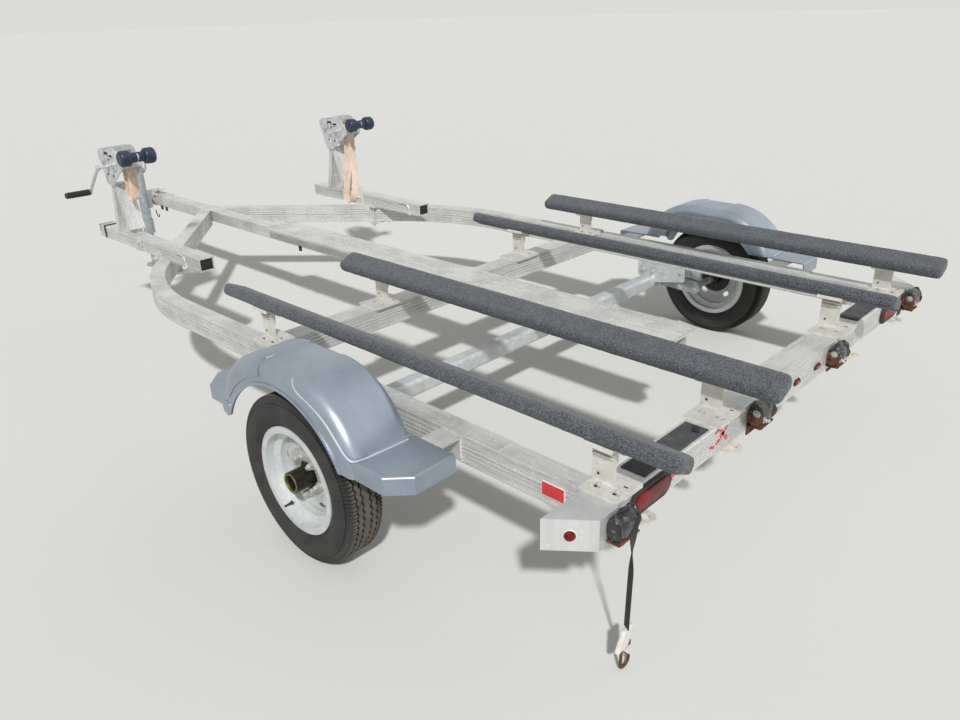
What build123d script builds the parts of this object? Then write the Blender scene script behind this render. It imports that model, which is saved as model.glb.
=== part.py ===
from build123d import *
import math
import os

# Two-place bunk trailer for small watercraft, in millimetres.
# X points to the right-hand side, Y forwards to the coupler, Z up from the ground.
# Every piece is drawn with the wheel axis at y = 0 and is then moved so that
# the middle of the whole length lies at y = 0.

# Wheels
tyre_diameter = 526.0
tyre_width = 136.0
tyre_bead_diameter = 306.0
tyre_tread_flat = 92.0
rim_flange_diameter = 338.0
rim_flange_thickness = 5.0
rim_width = 112.0
rim_wall = 4.0
rim_well_diameter = 262.0
rim_well_front = 14.0
rim_well_back = 22.0
rim_well_slope = 9.0
tyre_sidewall_step = 3.0
tyre_shoulder_drop = 6.0
tyre_shoulder_run = 8.0
disc_offset = 8.0
disc_thickness = 5.0
disc_pilot_diameter = 84.0
disc_flat_diameter = 152.0
disc_swell = 7.0
disc_edge_back = 10.0
vent_count = 5
vent_circle_diameter = 196.0
vent_length = 32.0
vent_height = 20.0
stud_count = 5
stud_circle_diameter = 114.3
nut_diameter = 19.0
nut_height = 15.0
nut_seat_diameter = 30.0
nut_seat_height = 3.0
wheel_overhang = 220.0
bead_clearance = 0.3

# Hub and stub axle
hub_diameter = 66.0
hub_flange_diameter = 142.0
hub_flange_thickness = 9.0
hub_nose_reach = 62.0
hub_cap_bore = 50.0
hub_cap_bore_depth = 24.0
hub_inner_reach = 46.0
spindle_diameter = 30.0
spindle_clearance = 0.4
spindle_nose_gap = 10.0

# Axle and swing arms
axle_tube_size = 64.0
axle_tube_corner = 16.0
axle_ahead = 204.0
axle_drop = 9.0
arm_thickness = 22.0
arm_width = 62.0
arm_inboard_gap = 10.0
hanger_length = 250.0
hanger_height = 62.0
hanger_thickness = 8.0
hanger_bolt_spacing = 202.0
hanger_bolt_hole = 14.0

# Side rails, one long bent extrusion on each side
rail_width = 64.0
rail_height = 85.0
rail_top = 450.0
rail_outer_span = 1958.0
rail_bend_angle = 39.0
rail_bend_radius = 1000.0
rail_bend_vertex = 1535.0
rail_rear = -815.0
rail_wall = 5.0
rail_cap_thickness = 4.5
rail_cap_margin = 2.0
rail_cap_rear = -545.0
rail_cap_front = 500.0
groove_depth = 3.0
groove_width = 5.0
groove_pitch = 14.0
groove_count = 5

# Tongue and centre walkway plank
tongue_width = 76.0
tongue_height = 64.0
tongue_wall = 6.0
tongue_front = 3290.0
tongue_rear = -503.0
plank_width = 180.0
plank_thickness = 12.0
plank_front = 1966.0
plank_front_chamfer = 34.0
plank_rib_depth = 1.5
plank_rib_count = 6

# Cross members
front_cross_rear = 528.0
front_cross_depth = 84.0
rear_cross_depth = 90.0
cross_wall = 5.0
light_box_width = 516.0
light_box_wall = 5.0
wing_reach = 155.0
wing_nose = 72.0
wing_depth = 104.0
wing_wall = 5.0
step_pad_inner = 526.0
step_pad_length = 309.0
step_pad_depth = 70.0
step_pad_thickness = 3.0

# Bunks and their brackets
bunk_width = 95.0
bunk_thickness = 46.0
bunk_corner = 16.0
bunk_rear = -1045.0
bunk_tilt = 25.0
bunk_height = 556.0
bunk_inset = 55.0
bunk_spacing = 514.0
bracket_plate = 6.0
bracket_upright_width = 66.0
bracket_base_depth = 112.0
bracket_base_long = 92.0
bracket_base_short = 48.0
bracket_step_height = 12.0
bracket_slot_length = 30.0
bracket_slot_width = 9.0
bracket_saddle_length = 84.0
bracket_saddle_width = 62.0
bracket_saddle_lip = 5.0
bracket_web_drop = 48.0

# Winch beams, posts, winches and bow rollers
beam_inset = 318.0
beam_width = 76.0
beam_height = 60.0
beam_wall = 5.0
beam_groove_count = 3
beam_rear = 1509.0
beam_length_left = 1051.0
beam_length_right = 974.0
clamp_bolt = 10.0
clamp_bolt_gap = 14.0
clamp_bolt_margin = 14.0
clamp_bolt_end = 16.0
clamp_nut = 17.0
clamp_nut_height = 9.0
clamp_bar_width = 44.0
clamp_bar_thickness = 8.0
clip_width = 40.0
clip_height = 32.0
clip_thickness = 5.0
winch_station = 2262.0
post_height = 242.0
post_leg_thickness = 28.0
post_leg_wall = 3.0
post_rib_count = 4
post_rear_foot = 90.0
post_front_foot = 62.0
post_head_half = 12.0
post_rear_seat = 24.0
post_plate = 6.0
post_bracket_width = 60.0
post_bracket_height = 72.0
winch_plate_spacing = 92.0
winch_plate = 4.0
winch_floor_length = 56.0
winch_window = 16.0
winch_cap_length = 30.0
winch_cap_height = 22.0
winch_cap_slot = 8.0
drum_diameter = 30.0
drum_wrap_diameter = 64.0
drum_flange_diameter = 80.0
drum_flange_thickness = 4.0
drum_back = 88.0
drum_rise = 108.0
drum_tail_back = 102.0
drum_tail_rise = 52.0
crank_back = 22.0
crank_rise = 93.0
crank_shaft = 16.0
crank_clearance = 0.4
crank_stand_out = 52.0
crank_arm_length = 200.0
crank_arm_width = 24.0
crank_arm_thickness = 7.0
crank_grip_diameter = 32.0
crank_grip_length = 118.0
crank_angle = 222.0
roller_back = 240.0
roller_rise = 151.0
roller_block_back = 148.0
roller_block_rise = 92.0
roller_block_length = 24.0
roller_block_height = 33.0
roller_length = 170.0
roller_lobe_diameter = 74.0
roller_waist_diameter = 46.0
roller_lobe_length = 54.0
roller_lobe_round = 14.0
roller_shaft = 14.0
roller_arm_thickness = 10.0
roller_arm_boss = 34.0
roller_side_gap = 0.5

# Winch side plate, its windows and the blocks on top, as (ahead of the station, above the
# post's top) pairs
winch_plate_outline = [(28, 0), (36, 14), (84, 142), (78, 158), (-96, 186), (-116, 180),
                       (-176, 112), (-168, 92), (-28, 0)]
winch_windows = [(-4, 44), (-72, 54), (44, 126)]
winch_caps = [(54, 148), (-76, 168)]

# Fenders
fender_gap = 83.0
fender_width = 210.0
fender_step_inset = 8.0
fender_step_height = 450.0
fender_crown_height = 622.0
fender_crown_front = 90.0
fender_crown_rear = -55.0
fender_foot_rear = 305.0
fender_foot_front = 330.0
fender_step_end = 474.0
fender_step_corner = 58.0
fender_step_round = 8.0
fender_skirt_bottom = 398.0
fender_opening_radius = 300.0
fender_opening_ahead = 18.0
fender_opening_drop = 6.0
fender_lip_width = 9.0
fender_tail_radius = 24.0
fender_tail_drop = 18.0
fender_edge_round = 36.0
fender_hood_rise = 3.0
fender_hood_radius = 325.0
fender_bead = 5.0
fender_wall = 4.0
stay_width = 80.0
stay_thickness = 5.0
stay_station = 375.0

# Coupler and latch
ball_diameter = 50.8
ball_clearance = 1.0
coupler_wall = 4.0
coupler_sleeve_rear = 3205.0
coupler_ball_station = 3470.0
coupler_dome_wall = 9.0
coupler_sleeve_drop = 52.0
coupler_taper_start = 3396.0
latch_pivot_back = 92.0
latch_length = 118.0
latch_width = 30.0
latch_thickness = 5.0
latch_pin = 10.0
latch_pin_clearance = 0.06
latch_side_gap = 0.5
latch_ear = 26.0
latch_heel = 8.0
latch_throat = 20.0
latch_lift = 22.0

# Jack
jack_x = -110.0
jack_station = 3330.0
jack_tube_diameter = 57.0
jack_tube_bottom = 290.0
jack_tube_top = 642.0
jack_cap_height = 70.0
jack_leg_diameter = 45.0
jack_leg_clearance = 0.3
jack_leg_insert = 100.0
jack_collar_diameter = 68.0
jack_collar_height = 75.0
jack_collar_seat = 12.0
jack_foot_diameter = 116.0
jack_foot_thickness = 8.0
jack_pivot_height = 418.0
jack_pivot_diameter = 44.0
jack_mount_plate = 8.0
jack_mount_width = 96.0
jack_mount_height = 60.0
jack_mount_clearance = 0.4
jack_saddle_width = 78.0
jack_crank_height = 612.0
jack_crank_arm = 96.0
jack_crank_rod = 10.0
jack_crank_stand_out = 24.0
jack_boss_diameter = 32.0
jack_boss_reach = 12.0
jack_grip_diameter = 24.0
jack_grip_length = 70.0

# Lamps, reflectors, tie rings, strap reels
oval_lamp_length = 176.0
oval_lamp_height = 72.0
oval_lamp_depth = 14.0
oval_lamp_inset = 154.0
id_lamp_spacing = 154.0
id_lamp_length = 42.0
id_lamp_height = 20.0
id_lamp_depth = 7.0
wing_lamp_diameter = 32.0
wing_lamp_depth = 9.0
reflector_length = 74.0
reflector_height = 42.0
reflector_thickness = 3.0
reflector_station = -729.0
ring_outer_diameter = 54.0
ring_inner_diameter = 24.0
ring_thickness = 8.0
ring_reach = 16.0
ring_hold = 50.0
ring_outer_inset = 114.0
ring_inner_spacing = 850.0
reel_width = 84.0
reel_depth = 37.0
reel_height = 70.0
reel_round = 24.0
reel_bracket = 4.0
reel_seat_height = 381.0
reel_drop = 30.0
reel_lip = 6.0
reel_gap = 0.3
reel_outer_offset = 6.0
reel_inner_offset = 17.0

# Straps that hang loose, and the snap hook on the rear one
rear_strap_width = 25.0
rear_strap_thickness = 2.5
rear_strap_gap = 0.5
rear_hook_width = 44.0
rear_hook_thickness = 12.0
rear_hook_plate = 62.0
rear_hook_rod = 8.0
rear_hook_tip = 2.0
bow_strap_width = 44.0
bow_strap_thickness = 3.0
bow_strap_lean = 0.33
bow_strap_lean_top = 700.0

# Places worked out from the sizes above
axle_height = tyre_diameter / 2
rail_outer = rail_outer_span / 2
rail_inner = rail_outer - rail_width
rail_mid = rail_outer - rail_width / 2
rail_bottom = rail_top - rail_height
wheel_x = rail_outer + wheel_overhang
rear_cross_front = rail_rear
rear_cross_rear = rear_cross_front - rear_cross_depth
fender_inner = rail_outer + fender_gap
fender_outer = fender_inner + fender_width
fender_face = fender_outer - fender_hood_rise
coupler_nose = coupler_ball_station + ball_diameter / 2 + coupler_dome_wall
axle_line = (-bunk_rear - coupler_nose) / 2
craft_middle = rail_outer - bunk_inset - bunk_spacing / 2
beam_x = rail_outer - beam_inset
beam_top = rail_top + beam_height
post_top = beam_top + post_height
drum_tail_y = winch_station - drum_tail_back
drum_tail_z = post_top + drum_tail_rise
block_y = winch_station - roller_block_back
roller_block_z = post_top + roller_block_rise

# Bunks: name, side of the trailer, side of its craft (1 is the outer one), front end
bunk_table = [("bunk_outer_left", -1, 1, 825.0), ("bunk_inner_left", -1, -1, 790.0),
              ("bunk_inner_right", 1, -1, 858.0), ("bunk_outer_right", 1, 1, 825.0)]

# Loose straps, each a short list of chosen points; the bow loops are (y, z) pairs.
long_loop = [(drum_tail_y, drum_tail_z), (drum_tail_y, 700), (2134, 594), (2124, 500), (2098, 460),
             (2060, 459), (2040, 502), (2060, 600), (block_y, 712), (block_y, roller_block_z)]
short_loop = [(drum_tail_y, drum_tail_z), (drum_tail_y, 754), (2168, 714), (2155, 686), (2130, 688),
              (2119, 724), (block_y, 774), (block_y, roller_block_z)]
reel_rear = rail_rear - wing_depth - reel_gap - reel_depth
rear_strap_x = -rail_outer - reel_outer_offset
rear_strap_y = reel_rear - rear_strap_gap - rear_strap_thickness / 2
rear_strap_z = reel_seat_height + reel_bracket + reel_height * 2 / 3
rear_strap_route = [(rear_strap_x + 13, rear_strap_y, rear_strap_z),
                    (rear_strap_x + 13, rear_strap_y, 340),
                    (rear_strap_x + 5, rear_strap_y - 3, 236),
                    (rear_strap_x + 2, rear_strap_y - 3, 124)]


def block(x0, x1, y0, y1, z0, z1):
    """A box given by its limits."""
    size = (abs(x1 - x0), abs(y1 - y0), abs(z1 - z0))
    middle = ((x0 + x1) / 2, (y0 + y1) / 2, (z0 + z1) / 2)
    return Pos(*middle) * Box(*size)


def rod_x(radius, x0, x1, y, z):
    """A round bar along X."""
    return Pos((x0 + x1) / 2, y, z) * Rot(0, 90, 0) * Cylinder(radius, abs(x1 - x0))


def rod_z(radius, x, y, z0, z1):
    """A round bar along Z."""
    return Pos(x, y, (z0 + z1) / 2) * Cylinder(radius, abs(z1 - z0))


def plate_yz(points, x0, x1):
    """A flat plate whose outline lies in the Y-Z plane."""
    face = make_face(Polyline([(0, y, z) for y, z in points], close=True))
    return Pos(x0, 0, 0) * extrude(face, amount=x1 - x0, dir=(1, 0, 0))


def plate_xy(points, z0, z1):
    """A flat plate whose outline lies in the X-Y plane."""
    face = make_face(Polyline([(x, y, 0) for x, y in points], close=True))
    return Pos(0, 0, z0) * extrude(face, amount=z1 - z0, dir=(0, 0, 1))


def spun_x(points, arc=360):
    """A ring turned about the X axis from (x, radius) points."""
    face = make_face(Polyline([(x, 0, r) for x, r in points], close=True))
    return revolve(face, axis=Axis.X, revolution_arc=arc)


def mirrored(shape):
    """The same piece on the left-hand side."""
    return mirror(shape, about=Plane.YZ)


def save(name, *shapes):
    """Write one node, moved from the axle line to the middle of the length."""
    moved = [Pos(0, axle_line, 0) * shape for shape in shapes]
    solids = [solid for shape in moved for solid in shape.solids()]
    whole = solids[0] if len(solids) == 1 else Compound(children=solids)
    export_step(whole, f"parts/{name}.step")


def save_pair(name, shape):
    """Write a right-hand piece and its left-hand mirror image."""
    save(f"{name}_right", shape)
    save(f"{name}_left", mirrored(shape))


def grooved_outline(width, height, depth, count, pitch):
    """Half-points of a bar's section with long grooves on both upright sides."""
    side = []
    for index in range(count):
        middle = (index - (count - 1) / 2) * pitch
        side.append((width / 2, middle - groove_width / 2))
        side.append((width / 2 - depth, middle - groove_width / 2 + depth / 2))
        side.append((width / 2 - depth, middle + groove_width / 2 - depth / 2))
        side.append((width / 2, middle + groove_width / 2))
    right = [(width / 2, -height / 2)] + side + [(width / 2, height / 2)]
    left = [(-x, z) for x, z in reversed(right)]
    return right + left


def rail_section(x, y, z):
    """The rail's hollow ribbed section, upright in the X-Z plane."""
    outline = grooved_outline(rail_width, rail_height, groove_depth, groove_count, groove_pitch)
    outer = make_face(Polyline([(px, 0, pz) for px, pz in outline], close=True))
    hollow_w = rail_width - 2 * (rail_wall + groove_depth)
    hollow_h = rail_height - 2 * rail_wall
    corners = [(-1, -1), (1, -1), (1, 1), (-1, 1)]
    inner = make_face(Polyline([(sx * hollow_w / 2, 0, sz * hollow_h / 2) for sx, sz in corners],
                               close=True))
    return Pos(x, y, z) * (outer - inner)


def make_rail():
    """Straight rear run, long bend inwards, then a straight diagonal to the tongue."""
    tangent = rail_bend_radius * math.tan(math.radians(rail_bend_angle / 2))
    bend_start = rail_bend_vertex - tangent
    middle_height = rail_top - rail_height / 2
    straight = extrude(rail_section(rail_mid, rail_rear, middle_height),
                       amount=bend_start - rail_rear, dir=(0, 1, 0))
    centre = (rail_mid - rail_bend_radius, bend_start)
    bend_axis = Axis((centre[0], centre[1], 0), (0, 0, 1))
    bend = revolve(rail_section(rail_mid, bend_start, middle_height), axis=bend_axis,
                   revolution_arc=rail_bend_angle)
    turn = math.radians(rail_bend_angle)
    reach = (rail_mid - rail_bend_radius * (1 - math.cos(turn))) / math.sin(turn) + rail_width
    diagonal = extrude(rail_section(rail_mid, bend_start, middle_height), amount=reach,
                       dir=(0, 1, 0))
    diagonal = diagonal.rotate(bend_axis, rail_bend_angle)
    far = rail_bend_radius * 4
    tongue_side = block(tongue_width / 2 - far, tongue_width / 2, 0, far, 0, rail_top + rail_height)
    cap = block(rail_inner + rail_cap_margin, rail_outer - rail_cap_margin, rail_cap_rear,
                rail_cap_front, rail_top, rail_top + rail_cap_thickness)
    return straight + bend + (diagonal - tongue_side) + cap


def rail_offset_at(x):
    """Y of the diagonal's middle line where it crosses a given x."""
    tangent = rail_bend_radius * math.tan(math.radians(rail_bend_angle / 2))
    turn = math.radians(rail_bend_angle)
    end_x = rail_mid - rail_bend_radius * (1 - math.cos(turn))
    end_y = rail_bend_vertex - tangent + rail_bend_radius * math.sin(turn)
    return end_y + (end_x - x) / math.tan(turn)


def make_tongue():
    """Box tube from the walkway's rear end to the coupler."""
    half = tongue_width / 2
    bottom = rail_top - tongue_height
    outer = block(-half, half, tongue_rear, tongue_front, bottom, rail_top)
    outer = fillet(outer.edges().filter_by(Axis.Y), tongue_wall)
    inner = block(-half + tongue_wall, half - tongue_wall, tongue_rear, tongue_front,
                  bottom + tongue_wall, rail_top - tongue_wall)
    return outer - inner


def make_plank():
    """Flat walkway plank with long shallow grooves and a chamfered front end."""
    half = plank_width / 2
    nose = plank_front - plank_front_chamfer
    inset = half - plank_front_chamfer
    outline = [(-half, tongue_rear), (half, tongue_rear), (half, nose), (inset, plank_front),
               (-inset, plank_front), (-half, nose)]
    plank = plate_xy(outline, rail_top, rail_top + plank_thickness)
    top = rail_top + plank_thickness
    for index in range(plank_rib_count):
        x = (index - (plank_rib_count - 1) / 2) * plank_width / (plank_rib_count + 1)
        plank -= block(x - groove_width / 2, x + groove_width / 2, tongue_rear - 1, plank_front + 1,
                       top - plank_rib_depth, top + 1)
    return plank


def make_front_cross():
    """Two ribbed hollow bars between the tongue and the rails."""
    length = rail_inner - tongue_width / 2
    outline = grooved_outline(front_cross_depth, rail_height, groove_depth, groove_count,
                              groove_pitch)
    middle_y = front_cross_rear + front_cross_depth / 2
    middle_z = rail_top - rail_height / 2
    face = make_face(Polyline([(0, y, z) for y, z in outline], close=True))
    bar = extrude(face, amount=length, dir=(1, 0, 0))
    hollow_w = front_cross_depth - 2 * (cross_wall + groove_depth)
    bar -= block(0, length, -hollow_w / 2, hollow_w / 2,
                 cross_wall - rail_height / 2, rail_height / 2 - cross_wall)
    right = Pos(tongue_width / 2, middle_y, middle_z) * bar
    return [right, mirrored(right)]


def make_rear_cross():
    """Hollow bar across the rear, with a shallow bead low on its rear face."""
    bar = block(-rail_outer, rail_outer, rear_cross_rear, rear_cross_front, rail_bottom, rail_top)
    long_edges = bar.edges().filter_by(Axis.X).group_by(Axis.Y)[0]
    bar = fillet(long_edges, cross_wall)
    bar -= block(-rail_outer, rail_outer, rear_cross_rear + cross_wall, rear_cross_front - cross_wall,
                 rail_bottom + cross_wall, rail_top - cross_wall)
    return bar


def make_light_box():
    """Sheet cover over the middle of the rear bar, open underneath."""
    half = light_box_width / 2
    cover = block(-half, half, rear_cross_rear - light_box_wall, rear_cross_front + light_box_wall,
                  rail_bottom, rail_top + light_box_wall)
    cover -= block(-half, half, rear_cross_rear, rear_cross_front, rail_bottom - 1, rail_top)
    return cover


def wing_outline(inset):
    """Plan of the corner wing, drawn in by a wall's thickness."""
    slope = math.hypot(wing_reach - wing_nose, wing_depth)
    shift = inset * (slope + (wing_reach - wing_nose)) / wing_depth
    back = inset * (slope - (wing_reach - wing_nose)) / wing_depth
    front = rail_rear - inset
    rear = rail_rear - wing_depth + inset
    return [(rail_outer + inset, front), (rail_outer + wing_reach - shift, front),
            (rail_outer + wing_nose - back, rear), (rail_outer + inset, rear)]


def make_wing():
    """Folded sheet corner that carries the side marker lamp."""
    shell = plate_xy(wing_outline(0), rail_bottom, rail_top)
    shell -= plate_xy(wing_outline(wing_wall), rail_bottom - 1, rail_top - wing_wall)
    return shell


def make_step_pads():
    """Gritty pads on the rear bar between the bunks."""
    middle = (rear_cross_front + rear_cross_rear) / 2
    pad = block(step_pad_inner, step_pad_inner + step_pad_length, middle - step_pad_depth / 2,
                middle + step_pad_depth / 2, rail_top, rail_top + step_pad_thickness)
    return [pad, mirrored(pad)]


def make_bunk(x, tilt_sign, front):
    """Carpeted board, tilted to face the middle of its craft."""
    board = block(-bunk_width / 2, bunk_width / 2, bunk_rear, front, 0, bunk_thickness)
    board = fillet(board.edges().filter_by(Axis.Y), bunk_corner)
    return Pos(x, 0, bunk_height) * Rot(0, -tilt_sign * bunk_tilt, 0) * board


def make_bracket_base(x, y_middle, long_side):
    """Two-level foot of a bunk bracket, with two slots in its lower side."""
    y0 = y_middle - bracket_base_depth / 2
    y1 = y_middle + bracket_base_depth / 2
    base = block(x - long_side, x + bracket_base_short, y0, y1, rail_top, rail_top + bracket_plate)
    base += block(x - bracket_plate / 2, x + bracket_base_short, y0, y1, rail_top,
                  rail_top + bracket_step_height)
    slot = Rot(0, 0, 90) * SlotOverall(bracket_slot_length, bracket_slot_width)
    for step in (-1, 1):
        place = Pos(x - long_side / 2, y_middle + step * bracket_base_depth / 4, rail_top)
        base -= place * extrude(slot, amount=bracket_plate)
    return base


def make_bracket_saddle(tilt_sign, x, upright_y):
    """Tilted plate under the bunk, its two long edges turned down as lips."""
    half_w = bracket_saddle_width / 2
    half_l = bracket_saddle_length / 2
    saddle = block(-half_w, half_w, -half_l, half_l, -bracket_plate, 0)
    for side in (-1, 1):
        saddle += block(side * half_w, side * (half_w - bracket_saddle_lip), -half_l, half_l,
                        -bracket_plate - bracket_saddle_lip, 0)
    return Pos(x, upright_y, bunk_height) * Rot(0, -tilt_sign * bunk_tilt, 0) * saddle


def make_bunk_bracket(x, tilt_sign, y_middle, outer):
    """Slotted foot, upright and tilted saddle in one welded piece."""
    long_side = bracket_base_short + bracket_plate if outer else bracket_base_long
    half = bracket_upright_width / 2
    upright_y = y_middle + bracket_base_depth / 2 - half
    web_x0 = x - bracket_plate / 2
    upright = block(web_x0, web_x0 + bracket_plate, upright_y - half, upright_y + half, rail_top,
                    bunk_height + bracket_plate)
    doubler = block(web_x0 + bracket_plate, web_x0 + 2 * bracket_plate, upright_y - half,
                    upright_y + half, bunk_height - bracket_web_drop, bunk_height + bracket_plate)
    post = upright + doubler
    above = block(-bunk_width, bunk_width, -bunk_width, bunk_width, -bracket_plate / 2, bunk_width)
    above = Pos(x, upright_y, bunk_height) * Rot(0, -tilt_sign * bunk_tilt, 0) * above
    foot = make_bracket_base(x, y_middle, long_side)
    return foot + (post - above) + make_bracket_saddle(tilt_sign, x, upright_y)


def make_axle_tube():
    """Cross tube with a rounded square section that holds the rubber springs."""
    half = axle_tube_size / 2
    z = axle_height + axle_drop
    tube = block(-rail_outer, rail_outer, axle_ahead - half, axle_ahead + half, z - half, z + half)
    return fillet(tube.edges().filter_by(Axis.X), axle_tube_corner)


def make_axle_hanger():
    """Welded plate under the rail with a saddle on the cross tube."""
    half = axle_tube_size / 2
    z = axle_height + axle_drop
    y0 = axle_ahead - hanger_length / 2 - axle_tube_size
    y1 = y0 + hanger_length
    low = rail_bottom - hanger_height
    web_x = rail_inner
    web = plate_yz([(y0, rail_bottom), (y1, rail_bottom), (y1, low), (axle_ahead + half, z),
                    (axle_ahead - half, z), (y0, low)], web_x, web_x + hanger_thickness)
    for step in (-1, 1):
        y = (y0 + y1) / 2 + step * hanger_bolt_spacing / 2
        web -= rod_x(hanger_bolt_hole / 2, web_x - 1, web_x + hanger_thickness + 1, y,
                     rail_bottom - hanger_height / 2)
    flange = block(rail_inner, rail_outer - hanger_thickness, y0, y1,
                   rail_bottom - hanger_thickness, rail_bottom)
    saddle = block(rail_inner, rail_outer, axle_ahead - half / 2, axle_ahead + half / 2, z,
                   rail_bottom)
    tube = block(rail_inner - 1, rail_outer + 1, axle_ahead - half, axle_ahead + half, z - half,
                 z + half)
    tube = fillet(tube.edges().filter_by(Axis.X), axle_tube_corner)
    return web + flange + saddle - tube


def make_swing_arm():
    """Trailing arm and stub axle on the right-hand side."""
    x0 = rail_outer + arm_inboard_gap
    x1 = x0 + arm_thickness
    pivot_z = axle_height + axle_drop
    half = arm_width / 2
    arm = rod_x(half, x0, x1, axle_ahead, pivot_z) + rod_x(half, x0, x1, 0, axle_height)
    rise = math.atan2(axle_drop, axle_ahead)
    dy = half * math.sin(rise)
    dz = half * math.cos(rise)
    arm += plate_yz([(dy, axle_height - dz), (axle_ahead + dy, pivot_z - dz),
                     (axle_ahead - dy, pivot_z + dz), (-dy, axle_height + dz)], x0, x1)
    shaft = rod_x(axle_tube_size / 2 - axle_tube_corner / 2, rail_outer, x0, axle_ahead, pivot_z)
    nose = wheel_x + disc_offset + hub_nose_reach - hub_cap_bore_depth - spindle_nose_gap
    stub = rod_x(spindle_diameter / 2, x1, nose, 0, axle_height)
    return arm + shaft + stub


def make_tyre():
    """Plain tyre with a flat tread and rounded shoulders and sidewalls."""
    outer = tyre_diameter / 2
    bead = tyre_bead_diameter / 2 + bead_clearance
    half = tyre_width / 2
    flat = tyre_tread_flat / 2
    shoulder = (outer * 2 + bead) / 3
    waist = (outer + bead * 2) / 3
    bead_half = rim_width / 2 - rim_flange_thickness - bead_clearance
    wall = (half - bead_half) * 2
    lip = rim_flange_diameter / 2 + bead_clearance
    bulge = max(waist, lip + tyre_shoulder_run)
    side = [(bead_half, bead), (bead_half, lip), (half - tyre_sidewall_step, bulge),
            (half, (outer + bead) / 2), (half - tyre_sidewall_step, shoulder),
            (flat + tyre_shoulder_run, outer - tyre_shoulder_drop), (flat, outer)]
    crown = [(-x, r) for x, r in reversed(side)]
    inner = [(-half + wall, (outer + bead) / 2), (-flat, outer - wall), (flat, outer - wall),
             (half - wall, (outer + bead) / 2)]
    ring = spun_x(side + crown + [(-bead_half + wall, bead)] + inner + [(bead_half - wall, bead)])
    return Pos(wheel_x, 0, axle_height) * ring


def make_barrel():
    """Rolled rim section with its two flanges, bead seats and dropped well."""
    half = rim_width / 2
    flange = rim_flange_diameter / 2
    seat = tyre_bead_diameter / 2
    well = rim_well_diameter / 2
    lip = rim_flange_thickness
    front = rim_well_front
    back = -rim_well_back
    slope = rim_well_slope
    top = [(-half, flange), (-half + lip, flange), (-half + lip, seat), (back - slope, seat),
           (back, well), (front, well), (front + slope, seat), (half - lip, seat),
           (half - lip, flange), (half, flange)]
    under = [(half, seat - rim_wall), (front + slope + rim_wall, seat - rim_wall),
             (front + rim_wall, well - rim_wall), (back - rim_wall, well - rim_wall),
             (back - slope - rim_wall, seat - rim_wall), (-half, seat - rim_wall)]
    return spun_x(top + under)


def make_rim():
    """Steel rim with a dished disc: raised nut seats, oval vents and a pilot hole."""
    well_in = rim_well_diameter / 2 - rim_wall
    pilot = disc_pilot_diameter / 2
    flat = disc_flat_diameter / 2
    face = disc_offset
    thick = disc_thickness
    swell = (vent_circle_diameter / 2 + flat) / 2
    dish = [(face, pilot), (face, flat), (face + disc_swell, swell),
            (face + disc_swell, vent_circle_diameter / 2), (face - disc_edge_back, well_in),
            (face - disc_edge_back - thick, well_in),
            (face + disc_swell - thick, vent_circle_diameter / 2 - thick / 2),
            (face + disc_swell - thick, swell), (face - thick, flat), (face - thick, pilot)]
    disc = spun_x(dish)
    vent = extrude(Plane.YZ * SlotOverall(vent_length, vent_height), amount=rim_width, both=True)
    vent = Pos(0, 0, vent_circle_diameter / 2) * vent
    for index in range(vent_count):
        disc -= Rot(360 * index / vent_count, 0, 0) * vent
    seat = rod_x(nut_seat_diameter / 2, face, face + nut_seat_height, 0, stud_circle_diameter / 2)
    for index in range(stud_count):
        disc += Rot(180 + 360 * index / stud_count, 0, 0) * seat
    disc -= rod_x(pilot, -rim_width, rim_width, 0, 0)
    return Pos(wheel_x, 0, axle_height) * (make_barrel() + disc)


def make_hub():
    """Hub barrel with flange, open nose and five wheel nuts."""
    face = disc_offset - disc_thickness
    nose = disc_offset + hub_nose_reach
    barrel = rod_x(hub_diameter / 2, -hub_inner_reach, nose, 0, 0)
    flange = rod_x(hub_flange_diameter / 2, face - hub_flange_thickness, face, 0, 0)
    hub = barrel + flange
    hub -= rod_x(hub_cap_bore / 2, nose - hub_cap_bore_depth, nose, 0, 0)
    hub -= rod_x(spindle_diameter / 2 + spindle_clearance, -hub_inner_reach, nose, 0, 0)
    nut = extrude(RegularPolygon(nut_diameter / 2, 6), amount=nut_height)
    nut = Pos(disc_offset + nut_seat_height, 0, stud_circle_diameter / 2) * Rot(0, 90, 0) * nut
    for index in range(stud_count):
        turn = 180 + 360 * index / stud_count
        hub += Rot(turn, 0, 0) * nut
    return Pos(wheel_x, 0, axle_height) * hub


def slope_foot(run, inset):
    """Height where a round slope of the crown, drawn in by a wall, meets its end."""
    drop = fender_crown_height - fender_step_height
    radius = (run * run + drop * drop) / (2 * drop)
    centre = fender_crown_height - radius
    return centre + math.sqrt((radius - inset) ** 2 - (run - inset) ** 2)


def fender_hood(inset, x0, bottom):
    """Crown with a round slope at each end and round side edges, drawn in by a wall."""
    rear = inset - fender_foot_rear
    front = fender_foot_front - inset
    rear_z = slope_foot(fender_foot_rear + fender_crown_rear, inset)
    front_z = slope_foot(fender_foot_front - fender_crown_front, inset)
    top = fender_crown_height - inset
    ends = Polyline((0, front, front_z), (0, front, bottom), (0, rear, bottom), (0, rear, rear_z))
    crown = Line((0, fender_crown_rear, top), (0, fender_crown_front, top))
    back = TangentArc((0, fender_crown_rear, top), (0, rear, rear_z), tangent=(0, -1, 0))
    ahead = TangentArc((0, fender_crown_front, top), (0, front, front_z), tangent=(0, 1, 0))
    face = make_face(ends + crown + back + ahead)
    x1 = fender_face - inset
    hood = Pos(x0, 0, 0) * extrude(face, amount=x1 - x0, dir=(1, 0, 0))
    sides = hood.edges().filter_by(Plane.YZ).group_by(Axis.X)
    tops = [edge for edge in sides[0] + sides[-1] if edge.center().Z > fender_step_height]
    return fillet(tops, fender_edge_round - inset)


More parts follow.
